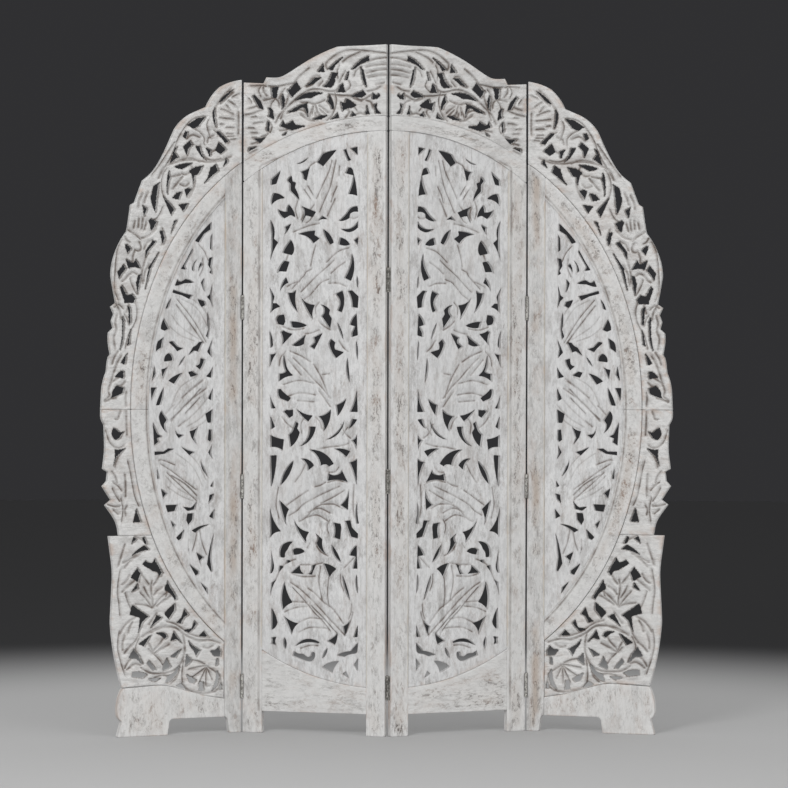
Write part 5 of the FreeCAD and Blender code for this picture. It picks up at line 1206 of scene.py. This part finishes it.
def painted_metal():
    """Hinge leaves brushed over with the whitewash, worn to dull metal in spots."""
    made = Shader("painted_hinge")
    wanted = colours()
    spots = made.noise(190.0, 4.0, 0.7)
    shade = made.mix(made.step(made.noise(40.0), 0.3, 0.7), rgba([c * DULL_PAINT for c in wanted.hinge]),
                     rgba(wanted.hinge))
    worn = made.times(made.step(spots, 0.47, 0.53), SPOT_COVER)
    shade = made.mix(worn, shade, rgba([c * SPOT_SHARE for c in wanted.pin]))
    return made.finish(shade, made.step(spots, 0.4, 0.7, 0.6, 0.4), spots, METAL_BUMPS)


def dull_steel():
    """Pins and screw heads of dull steel, a little rusty."""
    made = Shader("dull_steel")
    rust = made.noise(180.0, 4.0, 0.7)
    shade = made.mix(made.step(rust, 0.45, 0.7), rgba(colours().pin), rgba(RUST))
    return made.finish(shade, made.step(rust, 0.3, 0.7, 0.38, 0.6), rust, METAL_BUMPS, STEEL_METALLIC)


# ---- hinges ----
# Nodes of hinge leaves with the bodies they ride on, and nodes of hinge pins.
PLATE_NODES = {
    "centre_fold_left_hinge_leaves": "inner_left", "centre_fold_right_hinge_leaves": "inner_right",
    "left_fold_inner_hinge_leaves": "inner_left", "left_fold_outer_hinge_leaves": "outer_left",
    "right_fold_inner_hinge_leaves": "inner_right", "right_fold_outer_hinge_leaves": "outer_right",
}
PIN_NODES = ("centre_fold_hinge_pins", "left_fold_hinge_pins", "right_fold_hinge_pins")
# Screw heads, in millimetres: half their width, how far they stand out of the hinge leaf and reach into it,
# the width of the slot, how far the row is from the leaf's edge, and the share that the flat top takes up.
SCREW_RADIUS = 2.6
SCREW_PROUD = 0.15
SCREW_SUNK = 0.6
SCREW_SLOT = 0.8
SCREW_INSET = 4.5
SCREW_TOP = 0.82
SCREW_SIDES = 8
SCREWS_PER_LEAF = 3
# The slots turn by this much, in radians, from one screw and from one hinge to the next.
SLOT_TURN = 0.9
HINGE_TURN = 0.5
# Gaps in height larger than this part one hinge from the next.
HINGES_APART = 50.0


def hinge_spans(heights):
    """Lowest and highest z of each hinge in a node's heights."""
    heights = np.sort(heights)
    breaks = np.nonzero(np.diff(heights) > HINGES_APART)[0]
    return list(zip([heights[0], *heights[breaks + 1]], [*heights[breaks], heights[-1]]))


def screw_head(turn):
    """A countersunk head: two lands beside a slot, each as rings of (across, up, out) points."""
    widest = math.acos(SCREW_SLOT / 2 / SCREW_RADIUS)
    lands = []
    for way in (turn, turn + math.pi):
        rings = []
        for shrink, out in ((1.0, -SCREW_SUNK), (1.0, 0.0), (SCREW_TOP, SCREW_PROUD)):
            ring = []
            for i in range(SCREW_SIDES + 1):
                t = widest * (2 * i / SCREW_SIDES - 1)
                x = SCREW_SLOT / 2 + (SCREW_RADIUS * math.cos(t) - SCREW_SLOT / 2) * shrink
                y = SCREW_RADIUS * math.sin(t) * shrink
                across = x * math.cos(way) - y * math.sin(way)
                ring.append((across, x * math.sin(way) + y * math.cos(way), out))
            rings.append(ring)
        lands.append(rings)
    return lands


def put_screws(node, body, material):
    """Screw heads on a node's hinge leaves, flush in the face that looks across the fold."""
    leaf, side = body.split("_")
    points = in_leaf(node, leaf, side)
    centre = "centre" in node
    edge = real_u(leaf)[0] if centre else side_fold_u(leaf)
    outward = 1 if leaf == "inner" and not centre else -1
    row = points[:, 1].min() + SCREW_INSET if centre else points[:, 1].max() - SCREW_INSET
    bm = bmesh.new()
    for hinge, (low, high) in enumerate(hinge_spans(points[:, 2])):
        for k in range(SCREWS_PER_LEAF):
            up = low + (high - low) * (k + 0.5) / SCREWS_PER_LEAF
            for rings in screw_head(SLOT_TURN * k + HINGE_TURN * hinge):
                loops = [[bm.verts.new(Vector((edge + outward * out, row + a, up + b)) * MM)
                          for a, b, out in ring] for ring in rings]
                bm.faces.new(loops[0])
                bm.faces.new(loops[-1])
                for lower, upper in zip(loops, loops[1:]):
                    for i in range(len(lower)):
                        j = (i + 1) % len(lower)
                        bm.faces.new((lower[i], lower[j], upper[j], upper[i]))
    bmesh.ops.recalc_face_normals(bm, faces=bm.faces)
    mesh = bpy.data.meshes.new(f"screws_{node}")
    bm.to_mesh(mesh)
    bm.free()
    finish_mesh(mesh, leaf, side, None, material)


# ---- operators ----
class JALISCREEN_OT_jali_boards(bpy.types.Operator):
    """Build the thin pierced jali boards inside the oval"""
    bl_idname = "jali_screen.jali_boards"
    bl_label = "Jali Boards"

    def execute(self, context):
        finish = whitewash("jali_white", colours().jali_white, UPRIGHT_GRAIN,
                           flecks=1.2, stain_and_shade=1.0, wear=0.3, mottle=0.5)
        put_boards([kind for kind in BOARDS if "jali" in kind], finish)
        return {"FINISHED"}


class JALISCREEN_OT_carved_boards(bpy.types.Operator):
    """Build the carved crest, the borders outside the ring and the lower corners"""
    bl_idname = "jali_screen.carved_boards"
    bl_label = "Carved Boards"

    def execute(self, context):
        finish = whitewash("carved_limewash", colours().limewash, LEVEL_GRAIN,
                           flecks=1.0, stain_and_shade=0.95, wear=0.6, mottle=0.45)
        put_boards([kind for kind in BOARDS if "jali" not in kind], finish)
        return {"FINISHED"}


# The first word that a kind's name holds gives its finish: share of the full colour, grain, and the strength
# of flecks, stain and painted shade, wear, mottle and tan tint.
FRAME_FINISHES = {
    "outer_stile": (0.93, UPRIGHT_GRAIN, 1.0, 0.95, 0.9, 0.55, 1.0),
    "stile": (1.0, UPRIGHT_GRAIN, 1.0, 0.8, 0.55, 0.35, 0.3),
    "foot": (1.0, UPRIGHT_GRAIN, 0.7, 0.8, 0.55, 0.3, 0.1),
    "ring": (1.0, EVEN_GRAIN, 1.0, 0.95, 0.6, 0.38, 0.4),
    "rail": (1.0, LEVEL_GRAIN, 0.9, 0.8, 0.55, 0.3, 0.15),
}


class JALISCREEN_OT_frame(bpy.types.Operator):
    """Build the stiles and rails with worn edges and the beaded ring"""
    bl_idname = "jali_screen.frame"
    bl_label = "Frame"

    def execute(self, context):
        finishes = {word: whitewash(f"{word}_limewash", [c * share for c in colours().limewash], *strengths)
                    for word, (share, *strengths) in FRAME_FINISHES.items()}
        for kind in FRAME_KINDS:
            put_frame(kind, next(finish for word, finish in finishes.items() if word in kind))
        return {"FINISHED"}


class JALISCREEN_OT_hinges(bpy.types.Operator):
    """Finish the hinge leaves and pins and put in the screws"""
    bl_idname = "jali_screen.hinges"
    bl_label = "Hinges"

    def execute(self, context):
        paint, steel = painted_metal(), dull_steel()
        for nodes, finish in ((PLATE_NODES, paint), (PIN_NODES, steel)):
            for node in nodes:
                mesh = frame["nodes"][node].data
                mesh.materials.clear()
                mesh.materials.append(finish)
        for node, body in PLATE_NODES.items():
            put_screws(node, body, steel)
        return {"FINISHED"}


class JALISCREEN_OT_studio(bpy.types.Operator):
    """Set up the floor, lamps and camera"""
    bl_idname = "jali_screen.studio"
    bl_label = "Studio"

    def execute(self, context):
        build_stage()
        build_lamps()
        build_camera()
        return {"FINISHED"}


# Radii of the floor's rings, and the radii between which its colour fades from pale to dark grey, a painted
# falloff of light, in metres.
FLOOR_RINGS = (1.0, 2.5, 4.0, 6.0, 14.0)
FLOOR_PAINTED_FALLOFF = (1.35, 3.2)
FLOOR_SIDES = 48
FLOOR_ROUGHNESS = 0.85
FLOOR_BUMPS = 0.0001


def build_stage():
    """A pale floor whose colour darkens outward into the dark grey around it, a painted falloff of light."""
    points = [(0.0, 0.0, 0.0)]
    for radius in FLOOR_RINGS:
        for i in range(FLOOR_SIDES):
            turn = math.tau * i / FLOOR_SIDES
            points.append((radius * math.cos(turn), radius * math.sin(turn), 0.0))
    following = [(i, (i + 1) % FLOOR_SIDES) for i in range(FLOOR_SIDES)]
    faces = [(0, 1 + i, 1 + j) for i, j in following]
    for ring in range(len(FLOOR_RINGS) - 1):
        inner = 1 + FLOOR_SIDES * ring
        outer = inner + FLOOR_SIDES
        faces += [(inner + i, outer + i, outer + j, inner + j) for i, j in following]
    mesh = bpy.data.meshes.new("studio_floor")
    mesh.from_pydata(points, [], faces)
    made = Shader("studio_floor")
    wanted = colours()
    away = made.node("ShaderNodeVectorMath", {0: made.where}, operation="LENGTH").outputs["Value"]
    # Painted falloff of light: pale near the screen, and beyond that the backdrop's grey divided by the sky's
    # strength, so that it renders as dark as the backdrop.
    shade = made.mix(made.step(away, *FLOOR_PAINTED_FALLOFF), rgba(wanted.floor),
                     rgba([c / SKY_LIGHT for c in wanted.backdrop]))
    mesh.materials.append(made.finish(shade, FLOOR_ROUGHNESS, made.noise(60.0), FLOOR_BUMPS))
    floor = bpy.data.objects.new("studio_floor", mesh)
    bpy.context.scene.collection.objects.link(floor)


# Place, width and power of each lamp.
LAMPS = {
    "key": ((-1.9, -4.6, 3.0), 1.3, 112.0),
    "fill": ((3.0, -4.4, 1.6), 2.5, 45.0),
}
SKY_LIGHT = 0.75
LAMP_AIM = (0.0, 0.0, 0.95)


def build_lamps():
    """A soft key lamp at the upper left, a weak fill at the right, and a white sky seen as dark grey."""
    for name, (place, size, power) in LAMPS.items():
        data = bpy.data.lights.new(name, "AREA")
        data.size = size
        data.energy = power
        lamp = bpy.data.objects.new(name, data)
        lamp.location = place
        lamp.rotation_euler = (Vector(LAMP_AIM) - Vector(place)).to_track_quat("-Z", "Y").to_euler()
        bpy.context.scene.collection.objects.link(lamp)
    world = bpy.context.scene.world or bpy.data.worlds.new("studio")
    bpy.context.scene.world = world
    world.use_nodes = True
    tree = world.node_tree
    sky = tree.nodes["Background"]
    sky.inputs["Color"].default_value = (1, 1, 1, 1)
    sky.inputs["Strength"].default_value = SKY_LIGHT
    seen = tree.nodes.new("ShaderNodeBackground")
    seen.inputs["Color"].default_value = rgba(colours().backdrop)
    path = tree.nodes.new("ShaderNodeLightPath")
    either = path.outputs["Is Camera Ray"]
    for kind in ("Is Glossy Ray", "Is Transmission Ray"):
        more = tree.nodes.new("ShaderNodeMath")
        more.operation = "MAXIMUM"
        tree.links.new(either, more.inputs[0])
        tree.links.new(path.outputs[kind], more.inputs[1])
        either = more.outputs[0]
    blend = tree.nodes.new("ShaderNodeMixShader")
    tree.links.new(either, blend.inputs[0])
    tree.links.new(sky.outputs[0], blend.inputs[1])
    tree.links.new(seen.outputs[0], blend.inputs[2])
    tree.links.new(blend.outputs[0], tree.nodes["World Output"].inputs["Surface"])


# In metres, degrees and millimetres.
CAMERA_PLACE = (-0.65985, -10.2377, 1.06556)
CAMERA_TURN = (89.02502, -0.12516, -3.79787)
CAMERA_LENS = 179.04
SENSOR_WIDTH = 36.0


def build_camera():
    """The camera, square and level in front of the screen."""
    data = bpy.data.cameras.new("camera")
    data.lens = CAMERA_LENS
    data.sensor_width = SENSOR_WIDTH
    camera = bpy.data.objects.new("camera", data)
    camera.location = CAMERA_PLACE
    camera.rotation_euler = [math.radians(a) for a in CAMERA_TURN]
    bpy.context.scene.collection.objects.link(camera)
    bpy.context.scene.camera = camera


class JALISCREEN_PT_panel(bpy.types.Panel):
    """Build the screen and its studio"""
    bl_label = "Jali Screen"
    bl_idname = "JALISCREEN_PT_panel"
    bl_space_type = "VIEW_3D"
    bl_region_type = "UI"
    bl_category = "Jali Screen"

    def draw(self, context):
        layout = self.layout
        for group in (context.scene.jali_screen_sizes, context.scene.jali_screen_colours):
            box = layout.box()
            for name in group.__annotations__:
                box.prop(group, name)
        for operator in OPERATORS:
            layout.operator(operator.bl_idname)


OPERATORS = (JALISCREEN_OT_jali_boards, JALISCREEN_OT_carved_boards, JALISCREEN_OT_frame,
             JALISCREEN_OT_hinges, JALISCREEN_OT_studio)
CLASSES = (JaliScreenSizes, JaliScreenColours, *OPERATORS, JALISCREEN_PT_panel)


def register():
    """Register the classes and the two groups of properties."""
    for each in CLASSES:
        bpy.utils.register_class(each)
    bpy.types.Scene.jali_screen_sizes = bpy.props.PointerProperty(type=JaliScreenSizes)
    bpy.types.Scene.jali_screen_colours = bpy.props.PointerProperty(type=JaliScreenColours)


def unregister():
    """Take them away again."""
    del bpy.types.Scene.jali_screen_sizes
    del bpy.types.Scene.jali_screen_colours
    for each in reversed(CLASSES):
        bpy.utils.unregister_class(each)


def main():
    """Build everything."""
    register()
    bpy.context.scene.view_settings.view_transform = "Standard"
    bpy.ops.jali_screen.jali_boards()
    bpy.ops.jali_screen.carved_boards()
    bpy.ops.jali_screen.frame()
    bpy.ops.jali_screen.hinges()
    bpy.ops.jali_screen.studio()


if __name__ == "__main__":
    main()
